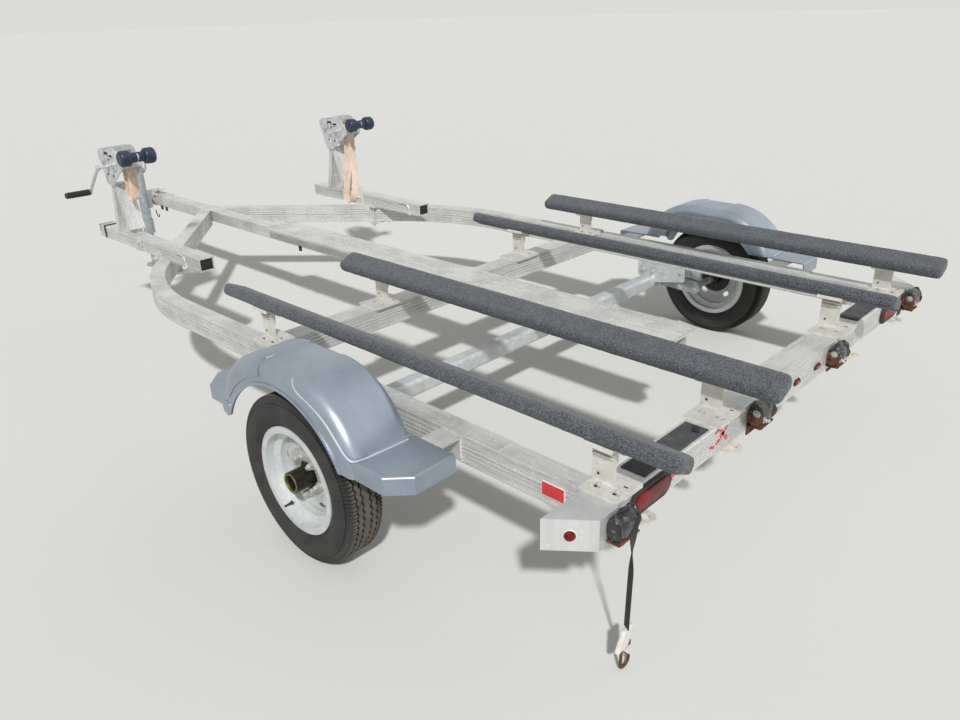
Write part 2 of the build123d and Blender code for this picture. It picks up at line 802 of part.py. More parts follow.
def fender_steps(inset, x0, bottom):
    """Flat steps at both ends of the fender, with cut outer corners."""
    end = fender_step_end - inset
    steps = block(x0, fender_face - fender_step_inset - inset, -end, end, bottom,
                  fender_step_height - inset)
    steps = chamfer(steps.edges().filter_by(Axis.Z).group_by(Axis.X)[-1], fender_step_corner)
    rims = steps.edges().group_by(Axis.Z)[-1]
    rims = [edge for edge in rims if edge.center().X > x0 + fender_step_inset]
    return fillet(rims, fender_step_round - inset)


def fender_shape(inset, x0, bottom):
    """Hood and steps together, drawn in by a wall."""
    return fender_hood(inset, x0, bottom) + fender_steps(inset, x0, bottom)


def make_raised_hood():
    """Both slopes of the hood, raised a little, down to a line round the wheel opening."""
    raised = fender_hood(-fender_hood_rise, fender_inner - fender_hood_rise, fender_skirt_bottom)
    end = fender_step_end
    raised -= block(0, 2 * fender_outer, fender_crown_rear, fender_crown_front, 0,
                    2 * fender_crown_height)
    raised -= block(0, 2 * fender_outer, -end, end, 0, fender_step_height)
    return raised - arch_rod(fender_hood_radius)


def arch_rod(radius):
    """A round bar about the middle of the wheel opening, through the fender."""
    x0 = fender_inner - fender_hood_rise - 1
    return rod_x(radius, x0, fender_outer + 1, fender_opening_ahead,
                 axle_height - fender_opening_drop)


def make_fender():
    """Moulded shell: round hood with beads, a step at each end, and a wheel opening in each
    side, the outer one with a lip."""
    bottom = fender_skirt_bottom
    body = fender_shape(0, fender_inner, bottom) + make_raised_hood()
    z = axle_height - fender_opening_drop
    lip = rod_x(fender_opening_radius + fender_lip_width, fender_face - fender_wall, fender_outer,
                fender_opening_ahead, z)
    low = block(0, 2 * fender_outer, -fender_outer, fender_outer, -fender_outer, bottom)
    tail_y = fender_foot_front - fender_tail_radius
    tail_z = bottom - fender_tail_drop + fender_tail_radius
    tail = rod_x(fender_tail_radius, fender_face - fender_wall, fender_outer, tail_y, tail_z)
    body += (lip - low) + tail
    body += rod_x(fender_bead, fender_inner + fender_edge_round, fender_face - fender_edge_round,
                  fender_crown_front, fender_crown_height - fender_bead / 2)
    for y in (-fender_foot_rear, fender_foot_front):
        body += rod_x(fender_bead, fender_inner, fender_face - fender_step_corner, y,
                      fender_step_height - fender_bead / 2)
    cavity = fender_shape(fender_wall, fender_inner + fender_wall, bottom - 1)
    end = fender_step_end - fender_wall
    cavity += block(fender_inner - 1, fender_inner + fender_wall, -end, end, bottom - 1,
                    fender_step_height - fender_wall)
    return body - cavity - arch_rod(fender_opening_radius)


def make_stays():
    """Flat angle stays between the rail and the fender's steps."""
    pieces = []
    for station in (-stay_station, stay_station):
        foot_top = fender_step_height - fender_wall
        foot = block(rail_outer, fender_inner + stay_width, station - stay_width / 2,
                     station + stay_width / 2, foot_top - stay_thickness, foot_top)
        leg = block(rail_outer, rail_outer + stay_thickness, station - stay_width / 2,
                    station + stay_width / 2, rail_bottom + stay_thickness, foot_top)
        pieces.append(foot + leg)
        pieces.append(mirrored(foot + leg))
    return pieces


def make_winch_beam(length):
    """Hollow ribbed beam that lies on the rail and carries the winch post."""
    outline = grooved_outline(beam_width, beam_height, groove_depth, beam_groove_count,
                              groove_pitch)
    face = make_face(Polyline([(x, 0, z) for x, z in outline], close=True))
    beam = extrude(face, amount=length, dir=(0, 1, 0))
    half_w = beam_width / 2 - beam_wall - groove_depth
    half_h = beam_height / 2 - beam_wall
    beam -= block(-half_w, half_w, 0, length, -half_h, half_h)
    return Pos(beam_x, beam_rear, rail_top + beam_height / 2) * beam


def make_clamp():
    """Bar under the rail where the beam crosses it, bolted up to a clip on each side of the beam."""
    reach = rail_width / 2 / math.cos(math.radians(rail_bend_angle)) + clamp_bolt_gap
    wide = reach + clamp_bolt_margin
    y = rail_offset_at(beam_x)
    half = clip_width / 2
    low = rail_bottom - clamp_bar_thickness
    clamp = block(beam_x - wide, beam_x + wide, y - clamp_bar_width / 2, y + clamp_bar_width / 2,
                  low, rail_bottom)
    for side in (-1, 1):
        face = beam_x + side * beam_width / 2
        clamp += block(face, beam_x + side * wide, y - half, y + half, rail_top,
                       rail_top + clip_thickness)
        clamp += block(face, face + side * clip_thickness, y - half, y + half, rail_top,
                       rail_top + clip_height)
        x = beam_x + side * reach
        clamp += rod_z(clamp_bolt / 2, x, y, low - clamp_bolt_end, rail_top + clip_thickness)
        nut = extrude(RegularPolygon(clamp_nut / 2, 6), amount=clamp_nut_height)
        clamp += Pos(x, y, rail_top + clip_thickness) * nut
        clamp += Pos(x, y, low - clamp_nut_height) * nut
    return clamp


def leg_middle(side, z):
    """Y of a leg's middle line at a height: side 1 for the front leg, -1 for the rear one."""
    foot = post_front_foot if side > 0 else post_rear_foot
    part = (z - beam_top) / post_height
    return winch_station + side * (foot + (post_head_half - foot) * part)


def make_leg(side):
    """One ribbed hollow leg of the winch post, its lower end cut square and left open."""
    foot = post_front_foot if side > 0 else post_rear_foot
    lean = math.degrees(math.atan2(side * (post_head_half - foot), post_height))
    outline = grooved_outline(post_leg_thickness, beam_width, groove_depth, post_rib_count,
                              groove_pitch)
    face = make_face(Polyline([(px, py, 0) for py, px in outline], close=True))
    long = 2 * post_height
    leg = extrude(face, amount=long)
    hollow = post_leg_thickness - 2 * (post_leg_wall + groove_depth)
    half = beam_width / 2 - post_leg_wall
    leg -= block(-half, half, -hollow / 2, hollow / 2, 0, long)
    seat = beam_top + (post_rear_seat if side < 0 else post_plate)
    leg = Pos(beam_x, leg_middle(side, seat), seat) * Rot(-lean, 0, 0) * leg
    over = winch_station - side * long
    leg -= block(0, 2 * beam_x, winch_station, over, 0, 2 * post_top)
    return leg - block(0, 2 * beam_x, winch_station - long, winch_station + long, post_top,
                       2 * post_top)


def leg_inside(side, z, away):
    """Y beside a leg's inner face at a height, a distance away from it."""
    foot = post_front_foot if side > 0 else post_rear_foot
    slant = math.hypot(1, (post_head_half - foot) / post_height)
    return leg_middle(side, z) - side * slant * (post_leg_thickness / 2 + away)


def make_post():
    """Winch post: two ribbed legs that meet under the winch, held by one bent foot bracket."""
    z0 = beam_top
    z1 = z0 + post_bracket_height
    rear0, rear1 = leg_inside(-1, z0, 0), leg_inside(-1, z1, 0)
    front0, front1 = leg_inside(1, z0, 0), leg_inside(1, z1, 0)
    thick = post_plate
    rear2, front2 = leg_inside(-1, z1, thick), leg_inside(1, z1, thick)
    rear3, front3 = leg_inside(-1, z0 + thick, thick), leg_inside(1, z0 + thick, thick)
    outline = [(rear0, z0), (front0, z0), (front1, z1), (front2, z1), (front3, z0 + thick),
               (rear3, z0 + thick), (rear2, z1), (rear1, z1)]
    half = post_bracket_width / 2
    bracket = plate_yz(outline, beam_x - half, beam_x + half)
    return bracket + make_leg(-1) + make_leg(1)


def make_winch_plate():
    """Side plate of the winch with a round window over each of its lower corners."""
    outline = [(winch_station + ahead, post_top + above) for ahead, above in winch_plate_outline]
    plate = plate_yz(outline, 0, winch_plate)
    for ahead, above in winch_windows:
        plate -= rod_x(winch_window / 2, -1, winch_plate + 1, winch_station + ahead,
                       post_top + above)
    return plate


def make_winch_caps():
    """Two slotted guide blocks across the top edges of the side plates."""
    caps = []
    wide = winch_plate_spacing / 2 + winch_plate
    for ahead, above in winch_caps:
        y = winch_station + ahead
        z = post_top + above
        cap = block(beam_x - wide, beam_x + wide, y - winch_cap_length / 2,
                    y + winch_cap_length / 2, z, z + winch_cap_height)
        cap -= block(beam_x - wide / 2, beam_x + wide / 2, y - winch_cap_slot / 2,
                     y + winch_cap_slot / 2, z, z + winch_cap_height + 1)
        caps.append(cap)
    return caps


def make_winch():
    """Two side plates on a floor plate, with the strap drum between them."""
    half = winch_plate_spacing / 2
    top = post_top
    drum_y = winch_station - drum_back
    drum_z = top + drum_rise
    crank_y = winch_station - crank_back
    crank_z = top + crank_rise
    body = block(beam_x - half, beam_x + half, winch_station - winch_floor_length / 2,
                 winch_station + winch_floor_length / 2, top, top + winch_plate)
    plate = make_winch_plate()
    body += Pos(beam_x + half, 0, 0) * plate
    body += Pos(beam_x - half - winch_plate, 0, 0) * plate
    for cap in make_winch_caps():
        body += cap
    body += rod_x(drum_diameter / 2, beam_x - half, beam_x + half, drum_y, drum_z)
    wrap_half = bow_strap_width / 2 + 1
    body += rod_x(drum_wrap_diameter / 2, beam_x - wrap_half, beam_x + wrap_half, drum_y, drum_z)
    for side in (-1, 1):
        x0 = beam_x + side * wrap_half
        body += rod_x(drum_flange_diameter / 2, x0, x0 + side * drum_flange_thickness, drum_y,
                      drum_z)
    body += block(beam_x - bow_strap_width / 2, beam_x + bow_strap_width / 2,
                  drum_tail_y - bow_strap_thickness / 2, drum_tail_y + bow_strap_thickness / 2,
                  drum_tail_z, drum_z - drum_diameter / 2)
    wide = half + 2 * winch_plate
    return body - rod_x(crank_shaft / 2 + crank_clearance, beam_x - wide, beam_x + wide, crank_y,
                        crank_z)


def make_crank():
    """Winch handle: shaft through both plates, flat arm and round grip."""
    z = post_top + crank_rise
    y = winch_station - crank_back
    half = winch_plate_spacing / 2
    inside = beam_x - half - winch_plate - crank_arm_thickness
    arm_x = beam_x + half + winch_plate + crank_stand_out
    shaft = rod_x(crank_shaft / 2, inside, arm_x + crank_arm_thickness, y, z)
    turn = math.radians(crank_angle)
    end_y = y - crank_arm_length * math.cos(turn)
    end_z = z + crank_arm_length * math.sin(turn)
    wide = crank_arm_width / 2
    ny = -math.sin(turn) * wide
    nz = -math.cos(turn) * wide
    arm = plate_yz([(y + ny, z + nz), (end_y + ny, end_z + nz), (end_y - ny, end_z - nz),
                    (y - ny, z - nz)], arm_x, arm_x + crank_arm_thickness)
    arm += rod_x(wide, arm_x, arm_x + crank_arm_thickness, y, z)
    arm += rod_x(wide, arm_x, arm_x + crank_arm_thickness, end_y, end_z)
    grip = rod_x(crank_grip_diameter / 2, arm_x + crank_arm_thickness,
                 arm_x + crank_arm_thickness + crank_grip_length, end_y, end_z)
    return shaft + arm + grip


def make_roller_arm():
    """Block between the winch plates with an arm to the middle of the bow roller."""
    top = post_top
    y_r = winch_station - roller_back
    z_r = top + roller_rise
    half_x = winch_plate_spacing / 2
    y0 = winch_station - roller_block_back - roller_block_length / 2
    y1 = winch_station - roller_block_back + roller_block_length / 2
    z0 = top + roller_block_rise
    z1 = z0 + roller_block_height
    base = block(beam_x - half_x, beam_x + half_x, y0, y1, z0, z1)
    boss = roller_arm_boss / 2
    half = roller_arm_thickness / 2
    away = math.hypot(y0 - y_r, z_r - z0)
    ny = boss * (z_r - z0) / away
    nz = boss * (y0 - y_r) / away
    outline = [(y0, z0), (y0, z1), (y_r + ny, z_r + nz), (y_r - ny, z_r - nz)]
    arm = plate_yz(outline, beam_x - half, beam_x + half)
    arm += rod_x(boss, beam_x - half, beam_x + half, y_r, z_r)
    return base + arm - rod_x(roller_shaft / 2 + crank_clearance, beam_x - half - 1,
                              beam_x + half + 1, y_r, z_r)


def make_roller():
    """Two short round-edged drums with necks on one shaft."""
    half = roller_length / 2
    inner = roller_arm_thickness / 2 + roller_side_gap
    lobe = rod_x(roller_lobe_diameter / 2, half - roller_lobe_length, half, 0, 0)
    lobe = fillet(lobe.edges().filter_by(GeomType.CIRCLE), roller_lobe_round)
    right = lobe + rod_x(roller_waist_diameter / 2, inner, half - roller_lobe_round, 0, 0)
    body = right + mirrored(right)
    body += rod_x(roller_shaft / 2, -inner, inner, 0, 0)
    return Pos(beam_x, winch_station - roller_back, post_top + roller_rise) * body


def make_coupler():
    """Folded sleeve over the tongue that narrows to the ball dome, with latch ears."""
    half = tongue_width / 2 + coupler_wall
    top = rail_top + coupler_wall
    bottom = rail_top - coupler_sleeve_drop
    dome = ball_diameter / 2 + coupler_dome_wall
    bore = (ball_diameter + ball_clearance) / 2
    ball_z = bottom + ball_diameter / 2
    dome_back = coupler_ball_station - dome
    plan = [(-half, coupler_sleeve_rear), (half, coupler_sleeve_rear), (half, coupler_taper_start),
            (dome, dome_back), (dome, coupler_ball_station), (-dome, coupler_ball_station),
            (-dome, dome_back), (-half, coupler_taper_start)]
    body = plate_xy(plan, bottom, top)
    wide = half - coupler_wall
    narrow = dome - coupler_wall
    hollow = [(-wide, coupler_sleeve_rear - 1), (wide, coupler_sleeve_rear - 1),
              (wide, coupler_taper_start), (narrow, dome_back - coupler_wall),
              (-narrow, dome_back - coupler_wall), (-wide, coupler_taper_start)]
    body -= plate_xy(hollow, bottom - 1, rail_top)
    body += rod_z(dome, 0, coupler_ball_station, bottom, ball_z)
    body += Pos(0, coupler_ball_station, ball_z) * Sphere(dome)
    body -= block(-half, half, dome_back, coupler_nose + 1, 0, bottom)
    body -= rod_z(bore, 0, coupler_ball_station, bottom - 1, ball_z)
    body -= Pos(0, coupler_ball_station, ball_z) * Sphere(bore)
    pivot_y = coupler_ball_station - latch_pivot_back
    pivot_z = top + latch_ear / 2
    for side in (-1, 1):
        x0 = side * (latch_width / 2 + latch_side_gap)
        body += block(x0, x0 + side * coupler_wall, pivot_y - latch_ear / 2,
                      pivot_y + latch_ear / 2, top - coupler_wall / 2, top + latch_ear)
    return body - rod_x(latch_pin / 2, -half, half, pivot_y, pivot_z)


def make_latch():
    """Lever on the coupler with its cross pin."""
    top = rail_top + coupler_wall
    pivot_y = coupler_ball_station - latch_pivot_back
    pivot_z = top + latch_ear / 2
    width = latch_width / 2
    heel = latch_heel
    lever = plate_yz([(pivot_y + heel, pivot_z - heel), (pivot_y + heel, pivot_z + heel),
                      (pivot_y - latch_throat, pivot_z + heel),
                      (pivot_y - latch_length, pivot_z + latch_lift),
                      (pivot_y - latch_length, pivot_z + latch_lift - latch_thickness),
                      (pivot_y - latch_throat, pivot_z + heel - 2 * latch_thickness)],
                     -width, width)
    reach = width + coupler_wall + latch_pin / 4
    pin = rod_x(latch_pin / 2 - latch_pin_clearance, -reach, reach, pivot_y, pivot_z)
    return lever + pin


def make_jack_mount():
    """Bolted plate with the hollow pivot stub for the swivelling jack."""
    side = -tongue_width / 2 - coupler_wall
    half_w = jack_mount_width / 2
    half_h = jack_mount_height / 2
    plate = block(side - jack_mount_plate, side, jack_station - half_w, jack_station + half_w,
                  jack_pivot_height - half_h, jack_pivot_height + half_h)
    face = jack_x + jack_tube_diameter / 2 + jack_mount_plate + jack_mount_clearance
    stub = rod_x(jack_pivot_diameter / 2, face, side - jack_mount_plate, jack_station,
                 jack_pivot_height)
    return plate + stub


def make_jack_tube():
    """Outer tube of the jack with its square saddle plate and a wider lower sleeve."""
    bottom = jack_tube_bottom - jack_collar_height
    tube = rod_z(jack_tube_diameter / 2, jack_x, jack_station, jack_tube_bottom, jack_tube_top)
    sleeve = rod_z(jack_collar_diameter / 2, jack_x, jack_station, bottom,
                   jack_tube_bottom + jack_collar_seat)
    half = jack_saddle_width / 2
    saddle = block(jack_x, jack_x + jack_tube_diameter / 2 + jack_mount_plate,
                   jack_station - half, jack_station + half, jack_pivot_height - half,
                   jack_pivot_height + half)
    saddle -= block(jack_x - 1, jack_x + jack_tube_diameter / 4, 0, 2 * jack_station, 0,
                    jack_tube_top)
    bore = jack_leg_diameter / 2 + jack_leg_clearance
    body = tube + sleeve + saddle
    return body - rod_z(bore, jack_x, jack_station, bottom - 1, jack_tube_top - jack_cap_height)


def make_jack_crank():
    """Bent rod crank with a round grip, in a boss near the top of the jack."""
    x0 = jack_x + jack_tube_diameter / 2
    arm_x = x0 + jack_crank_stand_out
    low = jack_crank_height
    high = jack_crank_height + jack_crank_arm
    path = FilletPolyline((jack_x + jack_tube_diameter / 4, jack_station, low),
                          (arm_x, jack_station, low), (arm_x, jack_station, high),
                          (arm_x + jack_grip_length + jack_crank_rod, jack_station, high),
                          radius=jack_crank_rod)
    start = Plane(origin=path @ 0, z_dir=(1, 0, 0))
    rod = sweep(start * Circle(jack_crank_rod / 2), path=path)
    boss = rod_x(jack_boss_diameter / 2, jack_x, x0 + jack_boss_reach, jack_station, low)
    grip = rod_x(jack_grip_diameter / 2, arm_x + jack_crank_rod, arm_x + jack_crank_rod
                 + jack_grip_length, jack_station, high)
    whole = rod + boss + grip
    return whole - rod_z(jack_tube_diameter / 2, jack_x, jack_station, 0, 2 * jack_tube_top)


def make_jack_leg():
    """Inner leg with its round foot on the ground."""
    leg = rod_z(jack_leg_diameter / 2, jack_x, jack_station, jack_foot_thickness,
                jack_tube_bottom + jack_leg_insert)
    foot = rod_z(jack_foot_diameter / 2, jack_x, jack_station, 0, jack_foot_thickness)
    return leg + foot


def oval(length, height, x, y, z, depth):
    """A stadium-shaped lamp body whose face points to the rear."""
    slot = SlotOverall(length, height)
    return Pos(x, y, z) * Rot(90, 0, 0) * extrude(slot, amount=depth)


def make_tail_lamps():
    """Long oval tail lamps on the rear bar."""
    z = (rail_top + rail_bottom) / 2
    lamp = oval(oval_lamp_length, oval_lamp_height, rail_outer - oval_lamp_inset, rear_cross_rear, z,
                oval_lamp_depth)
    return [lamp, mirrored(lamp)]


def make_marker_lamps():
    """Three small lamps in the middle and one round lamp on each wing."""
    pieces = []
    z = (rail_top + rail_bottom) / 2
    for step in (-1, 0, 1):
        pieces.append(oval(id_lamp_length, id_lamp_height, step * id_lamp_spacing,
                           rear_cross_rear - light_box_wall, z, id_lamp_depth))
    mid_x = rail_outer + (wing_reach + wing_nose) / 2
    mid_y = rail_rear - wing_depth / 2
    lean = math.degrees(math.atan2(wing_reach - wing_nose, wing_depth))
    lamp = Pos(mid_x, mid_y, z) * Rot(0, 0, -lean) * rod_x(wing_lamp_diameter / 2, 0,
                                                           wing_lamp_depth, 0, 0)
    return pieces + [lamp, mirrored(lamp)]


def make_reflectors():
    """Flat reflectors on the outer faces of the rails."""
    z = (rail_top + rail_bottom) / 2
    plate = block(rail_outer, rail_outer + reflector_thickness,
                  reflector_station - reflector_length / 2, reflector_station + reflector_length / 2,
                  z - reflector_height / 2, z + reflector_height / 2)
    return [plate, mirrored(plate)]


def make_tie_rings():
    """Flat rings bolted under the rear bar."""
    pieces = []
    for x in (rail_outer - ring_outer_inset, ring_inner_spacing / 2):
        y = rear_cross_rear - ring_reach
        z1 = rail_bottom
        ring = rod_z(ring_outer_diameter / 2, x, y, z1 - ring_thickness, z1)
        half = ring_outer_diameter / 2
        ring += block(x - half, x + half, y, rear_cross_rear + ring_hold, z1 - ring_thickness, z1)
        ring -= rod_z(ring_inner_diameter / 2, x, y, z1 - ring_thickness - 1, z1 + 1)
        pieces.append(ring)
        pieces.append(mirrored(ring))
    return pieces


def reel_places():
    """For each reel on the right: middle x, front y, and the x where its seat steps back."""
    wing_rear = rail_rear - wing_depth - reel_gap
    box_rear = rear_cross_rear - light_box_wall - reel_gap
    return [(rail_outer + reel_outer_offset, wing_rear, rail_outer, 1),
            (light_box_width / 2 + reel_inner_offset, box_rear, light_box_width / 2, -1)]


def make_reel_cases():
    """Flattened round cases of the strap reels."""
    pieces = []
    for x, front, step_x, side in reel_places():
        z0 = reel_seat_height + reel_bracket
        z1 = z0 + reel_height
        rear = front - reel_depth
        case = block(x - reel_width / 2, x + reel_width / 2, rear, front, z0, z1)
        round_edges = case.edges().filter_by(Axis.X).group_by(Axis.Y)[0]
        case = fillet(round_edges, reel_round)
        lip_z = z0 + reel_height * 2 / 3
        lip_y = rear - 2 * rear_strap_gap - rear_strap_thickness
        case += block(x - rear_strap_width, x + rear_strap_width, lip_y, rear + reel_depth / 2,
                      lip_z, lip_z + reel_lip)
        pieces.append(case)
        pieces.append(mirrored(case))
    return pieces


def make_reel_brackets():
    """Bent plates that hold the reels on the rear bar."""
    pieces = []
    for x, front, step_x, side in reel_places():
        seat = rear_cross_rear
        rear = front - reel_depth
        ends = sorted((x - side * reel_width / 2, step_x - side * reel_gap))
        foot = block(ends[0], ends[1], seat - reel_bracket, seat, reel_seat_height - reel_drop,
                     reel_seat_height + reel_bracket)
        neck = block(ends[0], ends[1], front - 1, seat - reel_bracket, reel_seat_height,
                     reel_seat_height + reel_bracket)
        tray = block(x - reel_width / 2, x + reel_width / 2, rear, front, reel_seat_height,
                     reel_seat_height + reel_bracket)
        bracket = foot + neck + tray
        pieces.append(bracket)
        pieces.append(mirrored(bracket))
    return pieces


def strap(route, width, thickness, across):
    """A flat strap along hand-placed points: straight runs joined by tangent arcs."""
    points = [Vector(*point) for point in route]
    radii = []
    for before, here, after in zip(points, points[1:], points[2:]):
        turn = math.radians((here - before).get_angle(after - here))
        shorter = min((here - before).length, (after - here).length)
        radii.append(0.45 * shorter / math.tan(turn / 2))
    print("strap radii", [round(radius) for radius in radii])
    path = FilletPolyline(*points, radius=radii)
    start = Plane(origin=points[0], x_dir=across, z_dir=points[1] - points[0])
    tube = sweep(start * Rectangle(width, thickness), path=path)
    print("strap length", round(path.length), "by volume", round(tube.volume / width / thickness))
    return tube


def bow_route(points):
    """A bow strap's points in space: it leans inwards as it hangs."""
    return [(beam_x - bow_strap_lean * max(0, bow_strap_lean_top - z), y, z) for y, z in points]


def make_rear_hook():
    """Covered snap hook at the loose strap's end, its tip just at the ground."""
    x, y, z1 = rear_strap_route[-1]
    half = rear_hook_width / 2
    plate = block(x - half, x + half, y - rear_hook_thickness / 2, y + rear_hook_thickness / 2,
                  z1 - rear_hook_plate, z1)
    rod = rear_hook_rod
    tip = rear_hook_tip + rod / 2
    bend = half - rod / 2
    path = FilletPolyline((x - bend, y, z1 - rear_hook_plate), (x - bend, y, tip),
                          (x + bend, y, tip), (x + bend, y, tip + bend), radius=bend * 0.9)
    profile = Plane(origin=(x - bend, y, z1 - rear_hook_plate), z_dir=(0, 0, -1)) * Circle(rod / 2)
    return plate + sweep(profile, path=path)


save_pair("rail", make_rail())
save("tongue", make_tongue())
save("centre_plank", make_plank())
save("front_crossmember", *make_front_cross())
save("rear_crossmember", make_rear_cross())
save("light_box", make_light_box())
save_pair("corner_wing", make_wing())
save("step_pads", *make_step_pads())

front_middle = front_cross_rear + front_cross_depth / 2
rear_middle = (rear_cross_front + rear_cross_rear) / 2
front_brackets = []
rear_brackets = []
for bunk_name, trailer_side, craft_side, front_end in bunk_table:
    bunk_x = trailer_side * (craft_middle + craft_side * bunk_spacing / 2)
    bunk_sign = trailer_side * craft_side
    save(bunk_name, make_bunk(bunk_x, bunk_sign, front_end))
    at_outside = craft_side > 0
    front_brackets.append(make_bunk_bracket(bunk_x, bunk_sign, front_middle, at_outside))
    rear_brackets.append(make_bunk_bracket(bunk_x, bunk_sign, rear_middle, at_outside))
save("bunk_brackets_front", *front_brackets)
save("bunk_brackets_rear", *rear_brackets)

save("axle_tube", make_axle_tube())
hanger = make_axle_hanger()
save("axle_hangers", hanger, mirrored(hanger))
save_pair("swing_arm", make_swing_arm())
save_pair("tyre", make_tyre())
save_pair("rim", make_rim())
save_pair("hub", make_hub())
save_pair("fender", make_fender())
save("fender_stays", *make_stays())

save("winch_beam_right", make_winch_beam(beam_length_right))
save("winch_beam_left", mirrored(make_winch_beam(beam_length_left)))
clamp = make_clamp()
save("beam_clamps", clamp, mirrored(clamp))
save_pair("winch_post", make_post())
save_pair("winch", make_winch())
save_pair("roller_arm", make_roller_arm())
save_pair("bow_roller", make_roller())
save_pair("winch_crank", make_crank())
right_loop = strap(bow_route(long_loop), bow_strap_width, bow_strap_thickness, (1, 0, 0))
save("bow_strap_right", right_loop)
left_loop = strap(bow_route(short_loop), bow_strap_width, bow_strap_thickness, (1, 0, 0))
save("bow_strap_left", mirrored(left_loop))

save("coupler", make_coupler())
save("coupler_latch", make_latch())
save("jack_mount", make_jack_mount())
save("jack_tube", make_jack_tube())
save("jack_crank", make_jack_crank())
save("jack_leg", make_jack_leg())

save("tail_lamps", *make_tail_lamps())
save("marker_lamps", *make_marker_lamps())
save("reflectors", *make_reflectors())
save("tie_rings", *make_tie_rings())
save("reel_cases", *make_reel_cases())
save("reel_brackets", *make_reel_brackets())
rear_strap = strap(rear_strap_route, rear_strap_width, rear_strap_thickness, (1, 0, 0))
save("rear_strap", rear_strap)
save("rear_strap_hook", make_rear_hook())
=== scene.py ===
import math
import random
import bmesh
import bpy
from mathutils import Matrix, Vector, noise


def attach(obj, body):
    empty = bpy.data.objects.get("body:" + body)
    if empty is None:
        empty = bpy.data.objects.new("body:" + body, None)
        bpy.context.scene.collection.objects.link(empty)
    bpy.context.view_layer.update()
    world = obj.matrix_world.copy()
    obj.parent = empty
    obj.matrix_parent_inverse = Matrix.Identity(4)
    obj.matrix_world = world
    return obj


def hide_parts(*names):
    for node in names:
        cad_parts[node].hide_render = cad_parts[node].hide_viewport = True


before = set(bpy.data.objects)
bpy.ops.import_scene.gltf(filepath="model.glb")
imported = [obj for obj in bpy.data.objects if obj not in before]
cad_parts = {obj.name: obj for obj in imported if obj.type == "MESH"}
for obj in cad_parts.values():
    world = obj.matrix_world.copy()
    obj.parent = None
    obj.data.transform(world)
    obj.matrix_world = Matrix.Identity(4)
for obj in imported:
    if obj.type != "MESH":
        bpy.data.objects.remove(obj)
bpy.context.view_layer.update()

mm = 0.001

# Viewpoint of the photograph: about eye height, behind the trailer and to its left, looking
# forwards and a little down along the diagonal. Angles in radians, lens in picture pixels.
camera_place = Vector((-2.2795, -2.9870, 1.4971))
camera_turn, camera_dip, camera_lean = 0.7985, 0.4168, -0.0283
lens_pixels, picture_pixels, sensor_width = 793.96, 960, 36.0

ahead = Vector((math.sin(camera_turn) * math.cos(camera_dip),
                math.cos(camera_turn) * math.cos(camera_dip), -math.sin(camera_dip)))
level = Vector((math.cos(camera_turn), -math.sin(camera_turn), 0))
above = level.cross(ahead)
sideways = math.cos(camera_lean) * level + math.sin(camera_lean) * above
upwards = math.cos(camera_lean) * above - math.sin(camera_lean) * level
camera_data = bpy.data.cameras.new("camera")
camera_data.sensor_width = sensor_width
camera_data.lens = lens_pixels / picture_pixels * sensor_width
camera_data.clip_end = 400
camera = bpy.data.objects.new("camera", camera_data)
camera.matrix_world = (Matrix.Translation(camera_place)
                       @ Matrix((sideways, upwards, -ahead)).transposed().to_4x4())
bpy.context.scene.collection.objects.link(camera)
bpy.context.scene.camera = camera
bpy.context.scene.view_settings.view_transform = "Standard"


# A node of a material, with its settings, values and links; and sRGB colours as linear light.
def add(tree, kind, inputs=None, **settings):
    """Add one shader node, set it up and link it."""
    made = tree.nodes.new("ShaderNode" + kind)
    for name, value in settings.items():
        setattr(made, name, value)
    for name, value in (inputs or {}).items():
        if isinstance(value, bpy.types.NodeSocket):
            tree.links.new(value, made.inputs[name])
        else:
            made.inputs[name].default_value = value
    return made


def linear(colour):
    """An sRGB hex colour as linear red, green, blue and alpha."""
    parts = [int(colour[i:i + 2], 16) / 255 for i in (1, 3, 5)]
    return tuple(p / 12.92 if p <= 0.04045 else ((p + 0.055) / 1.055) ** 2.4 for p in parts) + (1,)


# Plain pale studio floor, an even pale surround, and two soft lamps: the key comes from behind
# the camera's left shoulder as the photographed daylight does, the other fills from the right.
floor_colour, surround_colour, seen_colour = "#D9D9D5", "#EDEEEE", "#DDDEDB"
floor_half = 120.0
surround_strength, seen_strength = 0.40, 0.98
key_direction, key_strength, key_spread = Vector((0.49, 0.54, -0.684)), 2.95, math.radians(3)
fill_direction, fill_strength, fill_spread = Vector((-0.7, 0.35, -0.45)), 0.3, math.radians(60)

floor_shape = bmesh.new()
bmesh.ops.create_grid(floor_shape, x_segments=1, y_segments=1, size=floor_half)
floor_mesh = bpy.data.meshes.new("floor")
floor_shape.to_mesh(floor_mesh)
floor = bpy.data.objects.new("floor", floor_mesh)
bpy.context.scene.collection.objects.link(floor)
floor_material = bpy.data.materials.new("floor_paint")
floor_material.use_nodes = True
floor_shader = floor_material.node_tree.nodes["Principled BSDF"]
floor_shader.inputs["Base Color"].default_value = linear(floor_colour)
floor_shader.inputs["Roughness"].default_value = 0.9
floor_mesh.materials.append(floor_material)

